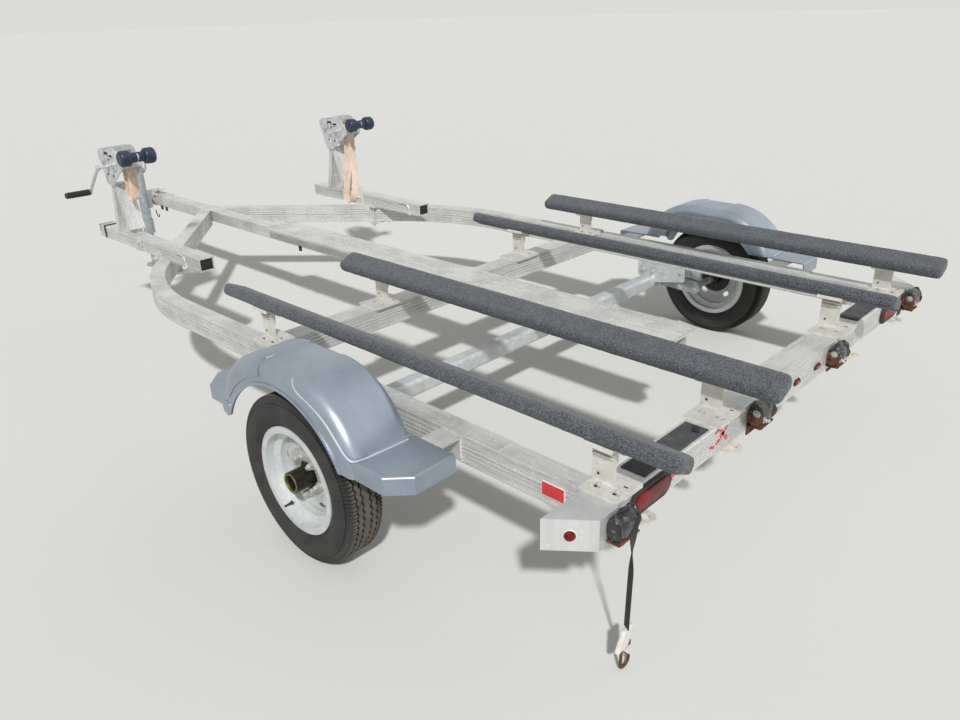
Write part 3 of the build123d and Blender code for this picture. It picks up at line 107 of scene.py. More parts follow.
world = bpy.data.worlds.new("surround")
world.use_nodes = True
sky = world.node_tree
rays = add(sky, "LightPath").outputs
seen = add(sky, "Math", {0: rays["Is Camera Ray"], 1: rays["Is Glossy Ray"]}, operation="MAXIMUM").outputs[0]
seen = add(sky, "Math", {0: seen, 1: rays["Is Transmission Ray"]}, operation="MAXIMUM").outputs[0]
lit = sky.nodes["Background"]
lit.inputs["Color"].default_value = linear(surround_colour)
lit.inputs["Strength"].default_value = surround_strength
backdrop = add(sky, "Background", {"Color": linear(seen_colour), "Strength": seen_strength})
either = add(sky, "MixShader", {0: seen, 1: lit.outputs[0], 2: backdrop.outputs[0]})
sky.links.new(either.outputs[0], sky.nodes["World Output"].inputs["Surface"])
bpy.context.scene.world = world
for lamp_name, direction, strength, spread in (
        ("key", key_direction, key_strength, key_spread),
        ("fill", fill_direction, fill_strength, fill_spread)):
    lamp_data = bpy.data.lights.new(lamp_name, "SUN")
    lamp_data.energy = strength
    lamp_data.angle = spread
    lamp = bpy.data.objects.new(lamp_name, lamp_data)
    lamp.rotation_euler = direction.to_track_quat("-Z", "Y").to_euler()
    bpy.context.scene.collection.objects.link(lamp)


# Every finish starts from one base: two tones that drift over patches, a gloss that drifts
# with them, and a fine grain raised in the surface. Later layers lie over it by a mask.
class Finish:
    """A material in the making, with its colour, roughness and normal so far."""

    def __init__(self, name, tones, roughness, patch, grain, relief, metallic=0.0, stretch=(1, 1, 1)):
        self.material = bpy.data.materials.new(name)
        self.material.use_nodes = True
        self.tree = self.material.node_tree
        self.shader = self.tree.nodes["Principled BSDF"]
        self.shader.inputs["Metallic"].default_value = metallic
        self.place = add(self.tree, "TexCoord").outputs["Object"]
        drawn = add(self.tree, "Mapping", {"Vector": self.place, "Scale": stretch})
        self.drawn = drawn.outputs["Vector"]
        self.drift = self.noise(patch, detail=5)
        self.fine = self.noise(grain, detail=3)
        self.colour = add(self.tree, "Mix", {0: self.spread_of(self.drift, 0.35, 0.65),
                                             6: linear(tones[0]), 7: linear(tones[1])},
                          data_type="RGBA").outputs[2]
        both = add(self.tree, "Math", {0: self.drift, 1: self.fine}, operation="ADD").outputs[0]
        self.rough = self.spread_of(both, 0.7, 1.3, roughness[0], roughness[1])
        self.normal = add(self.tree, "Bump", {"Height": self.fine, "Strength": relief,
                                              "Distance": grain * 0.5}).outputs[0]

    def noise(self, size, detail=2, vector=None):
        """Cloudy noise whose blotches are about that size in metres."""
        made = add(self.tree, "TexNoise", {"Vector": vector or self.drawn, "Scale": 1 / size,
                                           "Detail": detail, "Roughness": 0.6})
        return made.outputs[0]

    def spread_of(self, value, low, high, to_low=0.0, to_high=1.0):
        """A value from low to high, made to run over another range and held there."""
        made = add(self.tree, "MapRange", {0: value, 1: low, 2: high, 3: to_low, 4: to_high})
        return made.outputs[0]

    def sum_of(self, kind, *values):
        """One sum of two values."""
        return add(self.tree, "Math", dict(enumerate(values)), operation=kind).outputs[0]

    def along(self, axis):
        """How far along one axis of the trailer a point lies, in metres."""
        return add(self.tree, "SeparateXYZ", {"Vector": self.place}).outputs[axis]

    def near(self, axis, middle, reach, soft):
        """One between two planes either side of a middle, falling to nothing past them."""
        far = self.sum_of("ABSOLUTE", self.sum_of("SUBTRACT", self.along(axis), middle))
        return self.spread_of(far, reach, reach + soft, 1, 0)

    def blotches(self, size, low, high, most, detail=5):
        """Patches of cloudy noise about that size, as a mask."""
        return self.spread_of(self.noise(size, detail, self.place), low, high, 0, most)

    def cover(self, mask, colour, rough):
        """Lie another tone and gloss over the finish where the mask is one."""
        if isinstance(colour, str):
            colour = linear(colour)
        self.colour = add(self.tree, "Mix", {0: mask, 6: self.colour, 7: colour},
                          data_type="RGBA").outputs[2]
        self.rough = add(self.tree, "Mix", {0: mask, 2: self.rough, 3: rough}).outputs[0]

    def raise_by(self, height, distance, strength=1.0):
        """Raise the surface by a height map, over what is already raised."""
        self.normal = add(self.tree, "Bump", {"Height": height, "Strength": strength,
                                              "Distance": distance,
                                              "Normal": self.normal}).outputs[0]

    def facing(self, axis, low, high, most=1.0):
        """A mask of the faces that look along one axis of the trailer."""
        geometry = add(self.tree, "NewGeometry").outputs["True Normal"]
        part = add(self.tree, "SeparateXYZ", {"Vector": geometry}).outputs[axis]
        return self.spread_of(part, low, high, 0, most)

    def done(self):
        """Link what has been built to the shader and give the material."""
        self.tree.links.new(self.colour, self.shader.inputs["Base Color"])
        self.tree.links.new(self.rough, self.shader.inputs["Roughness"])
        self.tree.links.new(self.normal, self.shader.inputs["Normal"])
        return self.material


def dress(material, *nodes):
    """Give a carried-over node its finish."""
    for name in nodes:
        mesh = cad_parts[name].data
        mesh.materials.clear()
        mesh.materials.append(material)


# Webbing straps, woven polyester. Both bow straps come off the winch drums, hang in a loop and
# go back over the roller arm's block; the rear one hangs from the left outer reel, twisted once.
bow_strap_width, bow_strap_thickness, bow_strap_lean, bow_strap_lean_top = 0.044, 0.003, 0.33, 0.700
rear_strap_width, rear_strap_thickness = 0.025, 0.0025
beam_x, axle_shift = 0.661, -1.2297
thread_pitch, twill_pitch = 1.6 * mm, 2.2 * mm
long_loop = [(2.160, 0.804), (2.160, 0.700), (2.134, 0.594), (2.124, 0.500), (2.098, 0.460),
             (2.060, 0.459), (2.040, 0.502), (2.060, 0.600), (2.114, 0.712), (2.114, 0.844)]
short_loop = [(2.160, 0.804), (2.160, 0.754), (2.168, 0.714), (2.155, 0.686), (2.130, 0.688),
              (2.119, 0.724), (2.114, 0.774), (2.114, 0.844)]
rear_route = [Vector(p) for p in ((-0.972, -2.18775, 0.43167), (-0.972, -2.18775, 0.340),
                                  (-0.980, -2.19075, 0.236), (-0.983, -2.19075, 0.124))]


def woven(name, tones, thread_shade_tone, stain):
    """Polyester webbing: a tight twill whose thread valleys carry painted shade, dusty and faded in patches."""
    cloth = Finish(name, tones, (0.75, 0.92), 60 * mm, 1.2 * mm, 0.3)
    uv = add(cloth.tree, "UVMap", uv_map="along").outputs["UV"]
    split = add(cloth.tree, "SeparateXYZ", {"Vector": uv})
    across, along = split.outputs[0], split.outputs[1]
    slant = cloth.sum_of("ADD", across, along)
    twill = cloth.sum_of("SINE", cloth.sum_of("MULTIPLY", slant, 2 * math.pi / twill_pitch))
    weft = cloth.sum_of("SINE", cloth.sum_of("MULTIPLY", along, 2 * math.pi / thread_pitch))
    threads = cloth.spread_of(cloth.sum_of("ADD", twill, weft), -2, 2)
    # Painted shade: the valleys between the threads are darkened.
    cloth.cover(cloth.spread_of(threads, 0.5, 0.0, 0, 0.3), thread_shade_tone, 0.95)
    cloth.cover(cloth.blotches(45 * mm, 0.5, 0.75, 0.6), stain, 0.95)
    cloth.raise_by(threads, 0.6 * mm, 0.8)
    cloth.shader.inputs["Sheen Weight"].default_value = 0.06
    cloth.shader.inputs["Sheen Roughness"].default_value = 0.5
    return cloth.done()


def spline_of(name, route, radius=0.0):
    """The mesh of one smooth open spline along a route, bare or as a round bar."""
    curve = bpy.data.curves.new(name, "CURVE")
    curve.dimensions = "3D"
    curve.resolution_u = 10
    curve.bevel_depth = radius
    curve.bevel_resolution = 3
    curve.use_fill_caps = True
    spline = curve.splines.new("NURBS")
    spline.points.add(len(route) - 1)
    for point, place in zip(spline.points, route):
        point.co = (*place, 1)
    spline.order_u = 3
    spline.use_endpoint_u = True
    holder = bpy.data.objects.new(name, curve)
    mesh = bpy.data.meshes.new_from_object(holder)
    bpy.data.objects.remove(holder)
    return mesh


def finish_piece(name, shape, material, body="frame", smooth=True):
    """Turn a shape into a named object that rides on a body."""
    mesh = bpy.data.meshes.new(name)
    shape.to_mesh(mesh)
    shape.free()
    mesh.materials.append(material)
    if smooth:
        mesh.shade_smooth()
        mesh.set_sharp_from_angle(angle=math.radians(35))
    piece = bpy.data.objects.new(name, mesh)
    bpy.context.scene.collection.objects.link(piece)
    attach(piece, body)
    return piece


def sweep_section(shape, frames, section):
    """Carry a section through a row of frames, close its ends, and tell each vertex's origin."""
    ring = [shape.verts.new(frames[0] @ Vector((x, y, 0))) for x, y in section]
    edges = [shape.edges.new((a, b)) for a, b in zip(ring, ring[1:] + ring[:1])]
    shape.faces.new(ring)
    origin = {vertex: (x, y, 0) for vertex, (x, y) in zip(ring, section)}
    for step, (old, new) in enumerate(zip(frames, frames[1:]), 1):
        made = bmesh.ops.extrude_edge_only(shape, edges=edges)["geom"]
        fresh = [part for part in made if isinstance(part, bmesh.types.BMVert)]
        held = set(fresh)
        edges = [part for part in made if isinstance(part, bmesh.types.BMEdge)
                 and all(v in held for v in part.verts)]
        bmesh.ops.transform(shape, matrix=new @ old.inverted(), verts=fresh)
        for vertex in fresh:
            local = new.inverted() @ vertex.co
            origin[vertex] = (local.x, local.y, step)
    bmesh.ops.contextual_create(shape, geom=edges)
    bmesh.ops.recalc_face_normals(shape, faces=shape.faces)
    return origin


def make_strap(name, node, route, width, thickness, twist, length, material):
    """Sweep a flat section with rounded edges along the route, turned by twist over its length."""
    line = [vertex.co.copy() for vertex in spline_of(name + "_line", route).vertices]
    far = [0.0]
    for here, after in zip(line, line[1:]):
        far.append(far[-1] + (after - here).length)
    frames = []
    for index, point in enumerate(line):
        before, after = line[max(index - 1, 0)], line[min(index + 1, len(line) - 1)]
        onward = (after - before).normalized()
        across = Vector((1, 0, 0))
        across = (across - onward * across.dot(onward)).normalized()
        across.rotate(Matrix.Rotation(twist(far[index] / far[-1]), 3, onward))
        frames.append(Matrix.Translation(point)
                      @ Matrix((across, onward.cross(across), onward)).transposed().to_4x4())
    round_in = thickness / 2
    section = [(-width / 2, 0), (-width / 2 + round_in, -round_in), (0, -round_in),
               (width / 2 - round_in, -round_in), (width / 2, 0), (width / 2 - round_in, round_in),
               (0, round_in), (-width / 2 + round_in, round_in)]
    shape = bmesh.new()
    origin = sweep_section(shape, frames, section)
    layer = shape.loops.layers.uv.new("along")
    for face in shape.faces:
        for loop in face.loops:
            x, y, step = origin[loop.vert]
            loop[layer].uv = (x, far[step])
    strap = finish_piece(name, shape, material)
    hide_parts(node)
    tuple(line[0])
    [tuple(p) for p in line]
    return strap


def bow_route(points, side):
    """A bow strap's points: it leans towards the middle as it hangs."""
    return [Vector((side * (beam_x - bow_strap_lean * max(0, bow_strap_lean_top - z)), y + axle_shift, z))
            for y, z in points]


faded_webbing = woven("webbing_light", ("#EEDDCD", "#E0C7B3"), "#B78467", "#BC8E6B")
black_webbing = woven("webbing_black", ("#1B1B1D", "#262628"), "#101011", "#35332F")
for strap_name, points, side, length in (("bow_strap_right", long_loop, 1, 0.807),
                                         ("bow_strap_left", short_loop, -1, 0.298)):
    strap = make_strap(strap_name + "_webbing", strap_name, bow_route(points, side), bow_strap_width,
                       bow_strap_thickness, lambda share: 0.0, length, faded_webbing)


def hanging_turn(share):
    """The hanging strap's twist: it turns edge on to the side just below its reel."""
    part = min(1, share / 0.5)
    return math.radians(28 - 88 * part * part * (3 - 2 * part))


# Places are given below as the trailer was drawn: millimetres, y forwards from the wheel axis.
def at(x, y, z):
    """A place in the shared frame."""
    return Vector((x * mm, y * mm + axle_shift, z * mm))


def boxed(shape, low, high, edge, turn=None, segments=2):
    """A block between two corners, its edges rounded, turned about its middle."""
    middle, size = (at(*low) + at(*high)) / 2, [(b - a) * mm for a, b in zip(low, high)]
    place = Matrix.Translation(middle) @ (turn or Matrix()) @ Matrix.Diagonal((*size, 1))
    made = bmesh.ops.create_cube(shape, size=1, matrix=place)["verts"]
    sides = list({side for vertex in made for side in vertex.link_edges})
    done = bmesh.ops.bevel(shape, geom=sides, offset=edge * mm, segments=segments, profile=0.5,
                           affect="EDGES", material=-1)
    return done["verts"]


def turned(shape, profile, centre, axis, steps=32):
    """Spin a profile of (along, radius) pairs in millimetres about an axis."""
    place = Matrix.Translation(centre) @ axis.to_track_quat("X", "Z").to_matrix().to_4x4()
    line = [shape.verts.new(place @ (Vector((along, 0, radius)) * mm)) for along, radius in profile]
    edges = [shape.edges.new(pair) for pair in zip(line, line[1:])]
    made = bmesh.ops.spin(shape, geom=line + edges, cent=centre, axis=axis, dvec=(0, 0, 0),
                          angle=2 * math.pi, steps=steps, use_merge=True)
    bmesh.ops.remove_doubles(shape, verts=shape.verts, dist=0.00002)
    bmesh.ops.recalc_face_normals(shape, faces=shape.faces)
    return made


def knob(shape, place, axis, radius, height, edge, steps=24):
    """A round plate or boss standing on a face, its rim rounded."""
    turned(shape, [(0, 0), (0, radius), (height - edge, radius), (height - edge * 0.3, radius - edge * 0.3),
                   (height, radius - edge), (height, 0)], place, axis, steps)


def bolt(shape, place, axis, across, washer=0.16, height=0.6):
    """A hexagon head on its washer, seated on a face."""
    knob(shape, place, axis, across * 0.95, across * washer, across * washer * 0.4, 20)
    turn = axis.to_track_quat("Z", "X").to_matrix().to_4x4()
    middle = place + axis * across * (washer + height / 2) * mm
    made = bmesh.ops.create_cone(shape, cap_ends=True, segments=6, radius1=across * 0.577 * mm,
                                 radius2=across * 0.577 * mm, depth=across * height * mm,
                                 matrix=Matrix.Translation(middle) @ turn)["verts"]
    sides = list({side for vertex in made for side in vertex.link_edges})
    bmesh.ops.bevel(shape, geom=sides, offset=across * 0.05 * mm, segments=1, profile=0.5,
                    affect="EDGES", material=-1)


def bent_bar(shape, places, radius):
    """A round bar bent along a few points, added to a shape."""
    mesh = spline_of("bar", [at(*place) for place in places], radius * mm)
    shape.from_mesh(mesh)
    bpy.data.meshes.remove(mesh)


# The loose strap's end: a plated snap hook gone to rust, its shank in a crumpled white sleeve.
hook_x, hook_y = -983, -961
hook_shape = bmesh.new()
bent_bar(hook_shape, ((hook_x - 15, hook_y, 74), (hook_x - 17, hook_y, 40), (hook_x - 18, hook_y, 12),
                      (hook_x - 10, hook_y, 5), (hook_x + 8, hook_y, 5), (hook_x + 17, hook_y, 14),
                      (hook_x + 17, hook_y, 26)), 4)
boxed(hook_shape, (hook_x - 19, hook_y - 4, 62), (hook_x + 19, hook_y + 4, 78), 2)
bent_bar(hook_shape, ((hook_x - 14, hook_y, 60), (hook_x + 4, hook_y - 4, 44),
                      (hook_x + 15, hook_y - 4, 24)), 1.6)
random.seed(7)
sleeve_shape = bmesh.new()
boxed(sleeve_shape, (hook_x - 22, hook_y - 6, 66), (hook_x + 22, hook_y + 6, 124), 4, segments=3)
bmesh.ops.subdivide_edges(sleeve_shape, edges=sleeve_shape.edges, cuts=3, use_grid_fill=True)
for vertex in sleeve_shape.verts:
    slack = noise.noise_vector(vertex.co * 55) * 3.2 * mm
    vertex.co += Vector((slack.x * 0.4, slack.y * 0.6, 0))
    vertex.co.x += (vertex.co.z - 0.110) * 0.42

rusted = Finish("rusted_steel", ("#6B4634", "#482F25"), (0.7, 0.95), 14 * mm, 1.5 * mm, 0.8, 0.15)
rusted.cover(rusted.blotches(9 * mm, 0.56, 0.72, 0.75), "#A8703F", 0.8)
rusted.cover(rusted.blotches(22 * mm, 0.6, 0.75, 0.7), "#3A2820", 0.9)
rusted = rusted.done()
sleeve_vinyl = Finish("white_vinyl", ("#E4E2DC", "#D3D0C8"), (0.4, 0.6), 25 * mm, 2 * mm, 0.25)
sleeve_vinyl.cover(sleeve_vinyl.blotches(14 * mm, 0.6, 0.78, 0.5), "#A59C8E", 0.7)
rear_hook = finish_piece("rear_hook_bar", hook_shape, rusted)
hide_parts("rear_strap_hook")
rear_sleeve = finish_piece("rear_hook_sleeve", sleeve_shape, sleeve_vinyl.done())
strap = make_strap("rear_strap_webbing", "rear_strap", rear_route, rear_strap_width,
                   rear_strap_thickness, hanging_turn, 0.308, black_webbing)


# Welded frame of extruded aluminium, mill finish: dull, drawn lengthwise, bloomed with pale
# oxide, scuffed on top, with painted shade darkening the grooves of its ribbed sides.
rib_pitch = 11 * mm
mill_tones, mill_bloom, mill_dark = ("#E2E2DE", "#CFD0CE"), "#F0F0EC", "#9C9C98"


def extrusion(name, stretch, ribs_along=2):
    """Weathered mill-finish aluminium, drawn along the stretched direction."""
    bare = Finish(name, mill_tones, (0.36, 0.6), 110 * mm, 3 * mm, 0.1, 0.4, stretch)
    bare.cover(bare.blotches(150 * mm, 0.45, 0.7, 0.45), mill_dark, 0.6)
    streaks = bare.noise(9 * mm, detail=3)
    bare.cover(bare.spread_of(streaks, 0.5, 0.72, 0, 0.4), mill_dark, 0.5)
    bare.cover(bare.blotches(9 * mm, 0.58, 0.68, 0.8), mill_bloom, 0.7)
    bare.cover(bare.blotches(26 * mm, 0.60, 0.72, 0.5), mill_bloom, 0.72)
    bare.cover(bare.blotches(5 * mm, 0.67, 0.74, 0.55, 2), "#7F7E78", 0.8)
    lines = bare.noise(1.4 * mm, detail=1)
    bare.raise_by(lines, 0.08 * mm, 0.5)
    # Painted shade: the grooves between the ribs on the side faces are darkened.
    ribs = bare.sum_of("SINE", bare.sum_of("MULTIPLY", bare.along(ribs_along), 2 * math.pi / rib_pitch))
    upright = bare.sum_of("SUBTRACT", 1, bare.facing(2, 0.1, 0.5))
    groove = bare.sum_of("MULTIPLY", bare.spread_of(ribs, 0.55, 1.0), upright)
    bare.cover(bare.sum_of("MULTIPLY", groove, 0.42), "#85857F", 0.7)
    bare.raise_by(groove, -0.8 * mm, 0.8)
    return bare.done()


lengthwise = extrusion("mill_aluminium_lengthwise", (1, 0.06, 1))
crosswise = extrusion("mill_aluminium_crosswise", (0.06, 1, 1))
dress(lengthwise, "rail_left", "rail_right", "tongue", "centre_plank", "winch_beam_left",
      "winch_beam_right")
dress(crosswise, "front_crossmember", "rear_crossmember", "light_box", "fender_stays")

sheet = Finish("brushed_sheet", ("#DBDCDB", "#C6C8C8"), (0.3, 0.5), 60 * mm, 2 * mm, 0.1, 0.45,
               (1, 1, 0.05))
sheet.cover(sheet.blotches(12 * mm, 0.6, 0.72, 0.6), "#EEEEEA", 0.6)
sheet.raise_by(sheet.noise(1.2 * mm, 1), 0.1 * mm, 0.6)
dress(sheet.done(), "corner_wing_left", "corner_wing_right")


# Weld beads where the frame's members meet: rows of small overlapping ripples of bright filler.
def bead(shape, start, end, width):
    """A bar of ripples from one place to another."""
    start, end = at(*start), at(*end)
    length = (end - start).length / mm
    count = max(2, round(length / (width * 0.55)))
    ripples = [(0, 0), (0, width * 0.3)]
    for index in range(count):
        ripples += [(length * (index + 0.3) / count, width * 0.5), (length * (index + 0.9) / count, width * 0.4)]
    turned(shape, ripples + [(length, 0)], start, (end - start).normalized(), 8)


weld_shape = bmesh.new()
for side in (-1, 1):
    bead(weld_shape, (side * 39, 2652, 386), (side * 39, 2652, 448), 8)
    bead(weld_shape, (side * 39, 2570, 451), (side * 40, 2652, 451), 7)
    for y in (528, 612):
        bead(weld_shape, (side * 39, y, 370), (side * 39, y, 446), 6)
        bead(weld_shape, (side * 914, y, 370), (side * 914, y, 448), 6)
    bead(weld_shape, (side * 39, 530, 451), (side * 39, 610, 451), 6)
    bead(weld_shape, (side * 914, 530, 451), (side * 914, 610, 451), 6)
    bead(weld_shape, (side * 980, -816, 370), (side * 980, -816, 449), 6)
    bead(weld_shape, (side * 916, -815, 451), (side * 978, -815, 451), 6)
    for station in (-375, 375):
        bead(weld_shape, (side * 985, station - 38, 382), (side * 985, station - 38, 440), 5)
        bead(weld_shape, (side * 985, station + 38, 382), (side * 985, station + 38, 440), 5)
    for y in (614, 700, 1100, 1500, 1900):
        bead(weld_shape, (side * 38.5, y, 450), (side * 38.5, y + 46, 450), 5)
weld = Finish("weld_filler", ("#E6E5E0", "#CFCEC8"), (0.4, 0.6), 12 * mm, 2 * mm, 0.3, 0.4)
weld.cover(weld.blotches(30 * mm, 0.5, 0.7, 0.5), "#B9B09A", 0.7)
finish_piece("weld_beads", weld_shape, weld.done())


# Front cap over each rail, where two extrusions overlap: its rivets.
hardware_shape = bmesh.new()
for side in (-1, 1):
    for y in (-500, -250, 0, 250, 460):
        knob(hardware_shape, at(side * 947, y, 454.3), Vector((0, 0, 1)), 5, 1.6, 1.4, 16)

# Bunk brackets: folded and welded aluminium plate, bolted through the slots of the cross bars
# with plated bolts; the saddles hold the boards with lag screws.
bracket_plate = Finish("bracket_plate", ("#E1DFD8", "#CFCDC5"), (0.4, 0.6), 40 * mm, 2 * mm, 0.15, 0.3)
bracket_plate.cover(bracket_plate.blotches(10 * mm, 0.58, 0.7, 0.55), "#B4B0A6", 0.7)
bracket_plate.cover(bracket_plate.blotches(60 * mm, 0.52, 0.7, 0.4), "#C2BDB0", 0.7)
bracket_plate = bracket_plate.done()
dress(bracket_plate, "bunk_brackets_front", "bunk_brackets_rear")
bunk_places = {"bunk_outer_left": (-924, -1, 825), "bunk_inner_left": (-410, 1, 790),
               "bunk_inner_right": (410, -1, 858), "bunk_outer_right": (924, 1, 825)}
bunk_tilt = math.radians(25)
slot_shape, lip_shape = bmesh.new(), bmesh.new()
for name, (x, lean, front) in bunk_places.items():
    outer = abs(x) > 600
    foot = 32 if outer else 92
    for middle in (570, -860):
        upright = middle + 23
        for step in (-27, 27):
            y = middle + step
            boxed(slot_shape, (x - foot + 2, y - 4, 455.4), (x - foot + 20, y + 4, 455.9), 0.2)
            bolt(hardware_shape, at(x - foot * 0.45, y, 455.2), Vector((0, 0, 1)), 9, 0.12, 0.4)
        boxed(slot_shape, (x + 4, middle - 42, 461.5), (x + 9, middle - 30, 462.4), 0.2)
        boxed(slot_shape, (x - 5.2, upright + 10, 474), (x - 4.4, upright + 16, 480), 0.2)
        for z, out in ((542, 8), (531, 6)):
            bent_bar(lip_shape, ((x - out, upright - 30, z), (x - out, upright, z),
                                 (x - out, upright + 30, z)), 2.6)
        bead(lip_shape, (x - 3.5, upright - 24, 456.5), (x - 3.5, upright + 24, 456.5), 4)
# Slots, holes and open ends are drawn as thin near-black plates: painted shade where the openings are.
painted_shade_patch = Finish("shadowed_slot", ("#1C1B1A", "#2A2826"), (0.8, 0.95), 10 * mm, 2 * mm, 0.3).done()
finish_piece("bracket_slots", slot_shape, painted_shade_patch)
finish_piece("bracket_lips", lip_shape, bracket_plate)


# Bunks: boards wrapped in marine carpet, stapled underneath. The carpet is a blue-grey felt with
# pale and black flecks, with a painted highlight making it paler along the top; its edges and ends are soft and round.
def carpet_frames(x, lean, front):
    """Where the section stands along a board: closer and smaller at its rounded ends."""
    rear, pitch, tip = -1045, 9, 26
    steps = round((front - rear - 2 * tip) / pitch)
    stations = [(0, 0.62), (2, 0.80), (6, 0.91), (13, 0.975), (tip, 1.0)]
    places = [(rear + far, size) for far, size in stations]
    places += [(rear + tip + (front - rear - 2 * tip) * step / steps, 1) for step in range(1, steps)]
    places += [(front - far, size) for far, size in reversed(stations)]
    turn = Matrix.Rotation(-lean * bunk_tilt, 4, "Y")
    middle = turn @ Vector((0, 0, 23 * mm))
    for y, size in places:
        yield (Matrix.Translation(at(x, y, 556) + middle) @ turn @ Matrix.Rotation(math.pi / 2, 4, "X")
               @ Matrix.Diagonal((size, size, 1, 1)))


def board_section():
    """The outline of a wrapped board, its corners rounded by the carpet."""
    flat = bmesh.new()
    bmesh.ops.create_grid(flat, x_segments=1, y_segments=1, size=0.5)
    bmesh.ops.scale(flat, vec=(95 * mm, 46 * mm, 1), verts=flat.verts)
    bmesh.ops.bevel(flat, geom=flat.verts[:], offset=19 * mm, segments=5, profile=0.5,
                    affect="VERTICES", material=-1)
    for side in [side for side in flat.edges if side.calc_length() > 30 * mm]:
        bmesh.ops.subdivide_edges(flat, edges=[side], cuts=6)
    flat.faces.ensure_lookup_table()
    outline = [vertex.co.xy.copy() for vertex in flat.faces[0].verts]
    flat.free()
    return outline


carpet = Finish("bunk_carpet", ("#464A4F", "#575B60"), (0.92, 1.0), 45 * mm, 2.2 * mm, 1.0)
carpet.cover(carpet.blotches(4.5 * mm, 0.48, 0.58, 0.85, 3), "#202327", 1.0)
pale = add(carpet.tree, "Mapping", {"Vector": carpet.place, "Location": (3.1, 1.7, 0.4)}).outputs[0]
pale = carpet.spread_of(carpet.noise(4.2 * mm, 3, pale), 0.53, 0.63, 0, 0.8)
carpet.cover(pale, "#757C84", 1.0)
# Painted highlight: faces that look upwards are made paler.
carpet.cover(carpet.facing(2, 0.2, 0.95, 0.10), "#8A8F94", 1.0)
carpet.cover(carpet.blotches(120 * mm, 0.5, 0.72, 0.3), "#5A5C5B", 1.0)
carpet.raise_by(carpet.noise(3.4 * mm, 2, carpet.place), 2.4 * mm, 0.9)
carpet.shader.inputs["Sheen Weight"].default_value = 0.15
carpet.shader.inputs["Sheen Roughness"].default_value = 0.6
carpet = carpet.done()
board_outline = board_section()
for name, (x, lean, front) in bunk_places.items():
    shape = bmesh.new()
    sweep_section(shape, list(carpet_frames(x, lean, front)), board_outline)
    shape.normal_update()
    for vertex in shape.verts:
        fuzz = noise.noise(vertex.co * 160) * 0.9 + noise.noise(vertex.co * 14) * 0.6 - 0.9
        vertex.co += vertex.normal * fuzz * mm
    piece = finish_piece(name + "_carpet", shape, carpet)
    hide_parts(name)


# Step pads: dark grit tape on the rear bar, with a scrap of cable clip left on the left one.
grit = Finish("grit_tape", ("#4A4C4E", "#3A3B3D"), (0.85, 0.98), 40 * mm, 1.4 * mm, 0.9)
grit.cover(grit.blotches(2.2 * mm, 0.6, 0.68, 0.7, 1), "#7C7E80", 0.6)
grit.cover(grit.blotches(50 * mm, 0.55, 0.72, 0.35), "#77746D", 0.95)
dress(grit.done(), "step_pads")
clip_shape = bmesh.new()
boxed(clip_shape, (-566, -880, 452.5), (-538, -862, 461), 3, Matrix.Rotation(0.5, 4, "Z"))
knob(clip_shape, at(-552, -871, 460), Vector((0, 0, 1)), 7, 4, 1.5, 16)

# Scraps of peeled reflective tape on the rear bar: two pinkish reds, curled at their edges.
tape_shape = bmesh.new()
for x, z, wide, high, slant in ((-462, 418, 74, 13, 0.75), (-466, 416, 70, 13, -0.6), (-425, 441, 26, 8, 0.1),
                                (-497, 437, 20, 9, -0.3), (-721, 404, 24, 14, 0.9), (-520, 398, 30, 9, 0.4)):
    turn = Matrix.Rotation(slant, 4, "Y")
    boxed(tape_shape, (x - wide / 2, -905.9, z - high / 2), (x + wide / 2, -904.9, z + high / 2), 0.4, turn, 1)
tape = Finish("peeled_tape", ("#B3273C", "#C8505C"), (0.35, 0.6), 9 * mm, 1.5 * mm, 0.4)
tape.cover(tape.blotches(8 * mm, 0.56, 0.6, 0.9), "#E9E2DC", 0.5)
finish_piece("tape_scraps", tape_shape, tape.done())


# Axle, hangers and sprung arms: hot-dip galvanised steel with the zinc's crystal spangle and
# chalky white bloom; pale on the axle and hangers, darkened on the sprung arms as painted shade.
def dipped(name, tones, spangle, dirt):
    """Hot-dip galvanising: crystals of slightly different greys, chalk and run-off stains."""
    zinc = Finish(name, tones, (0.38, 0.6), 60 * mm, 2 * mm, 0.2, 0.5)
    cells = add(zinc.tree, "TexVoronoi", {"Vector": zinc.place, "Scale": 1 / spangle}).outputs["Color"]
    grey = add(zinc.tree, "SeparateColor", {"Color": cells}).outputs[0]
    zinc.cover(zinc.spread_of(grey, 0.0, 1.0, 0, 0.4), "#B9BEC2", 0.45)
    zinc.cover(zinc.blotches(24 * mm, 0.55, 0.72, 0.7), "#EFEFEC", 0.7)
    zinc.cover(zinc.blotches(90 * mm, 0.56, 0.74, 0.5), dirt, 0.8)
    zinc.raise_by(grey, 0.15 * mm, 0.4)
    return zinc.done()


pale_zinc = dipped("galvanised_steel", ("#DADDDD", "#C6CACC"), 7 * mm, "#A9A79C")
dress(pale_zinc, "axle_tube", "axle_hangers", "coupler", "beam_clamps")
upwards_drawn = extrusion("mill_aluminium_upright", (1, 1, 0.06), 0)
dress(upwards_drawn, "winch_post_left", "winch_post_right")
# A darker copy of the galvanising for the sprung arms and jack leg: painted shade.
shade_darkened_zinc = dipped("galvanised_painted_shade", ("#A9ACAB", "#8C8E8D"), 7 * mm, "#5A544B")
dress(shade_darkened_zinc, "swing_arm_left", "swing_arm_right", "jack_leg")
ring_paint = Finish("chalky_ring", ("#DAD5CB", "#C4BEB2"), (0.6, 0.8), 14 * mm, 2 * mm, 0.3, 0.1)
ring_paint.cover(ring_paint.blotches(9 * mm, 0.6, 0.7, 0.6), "#8C7F70", 0.85)
dress(ring_paint.done(), "tie_rings")
for side in (-1, 1):
    for y in (178, 232):
        for x in (912, 982):
            bolt(hardware_shape, at(side * x, y, 330), Vector((side * (1 if x > 950 else -1), 0, 0)), 14)


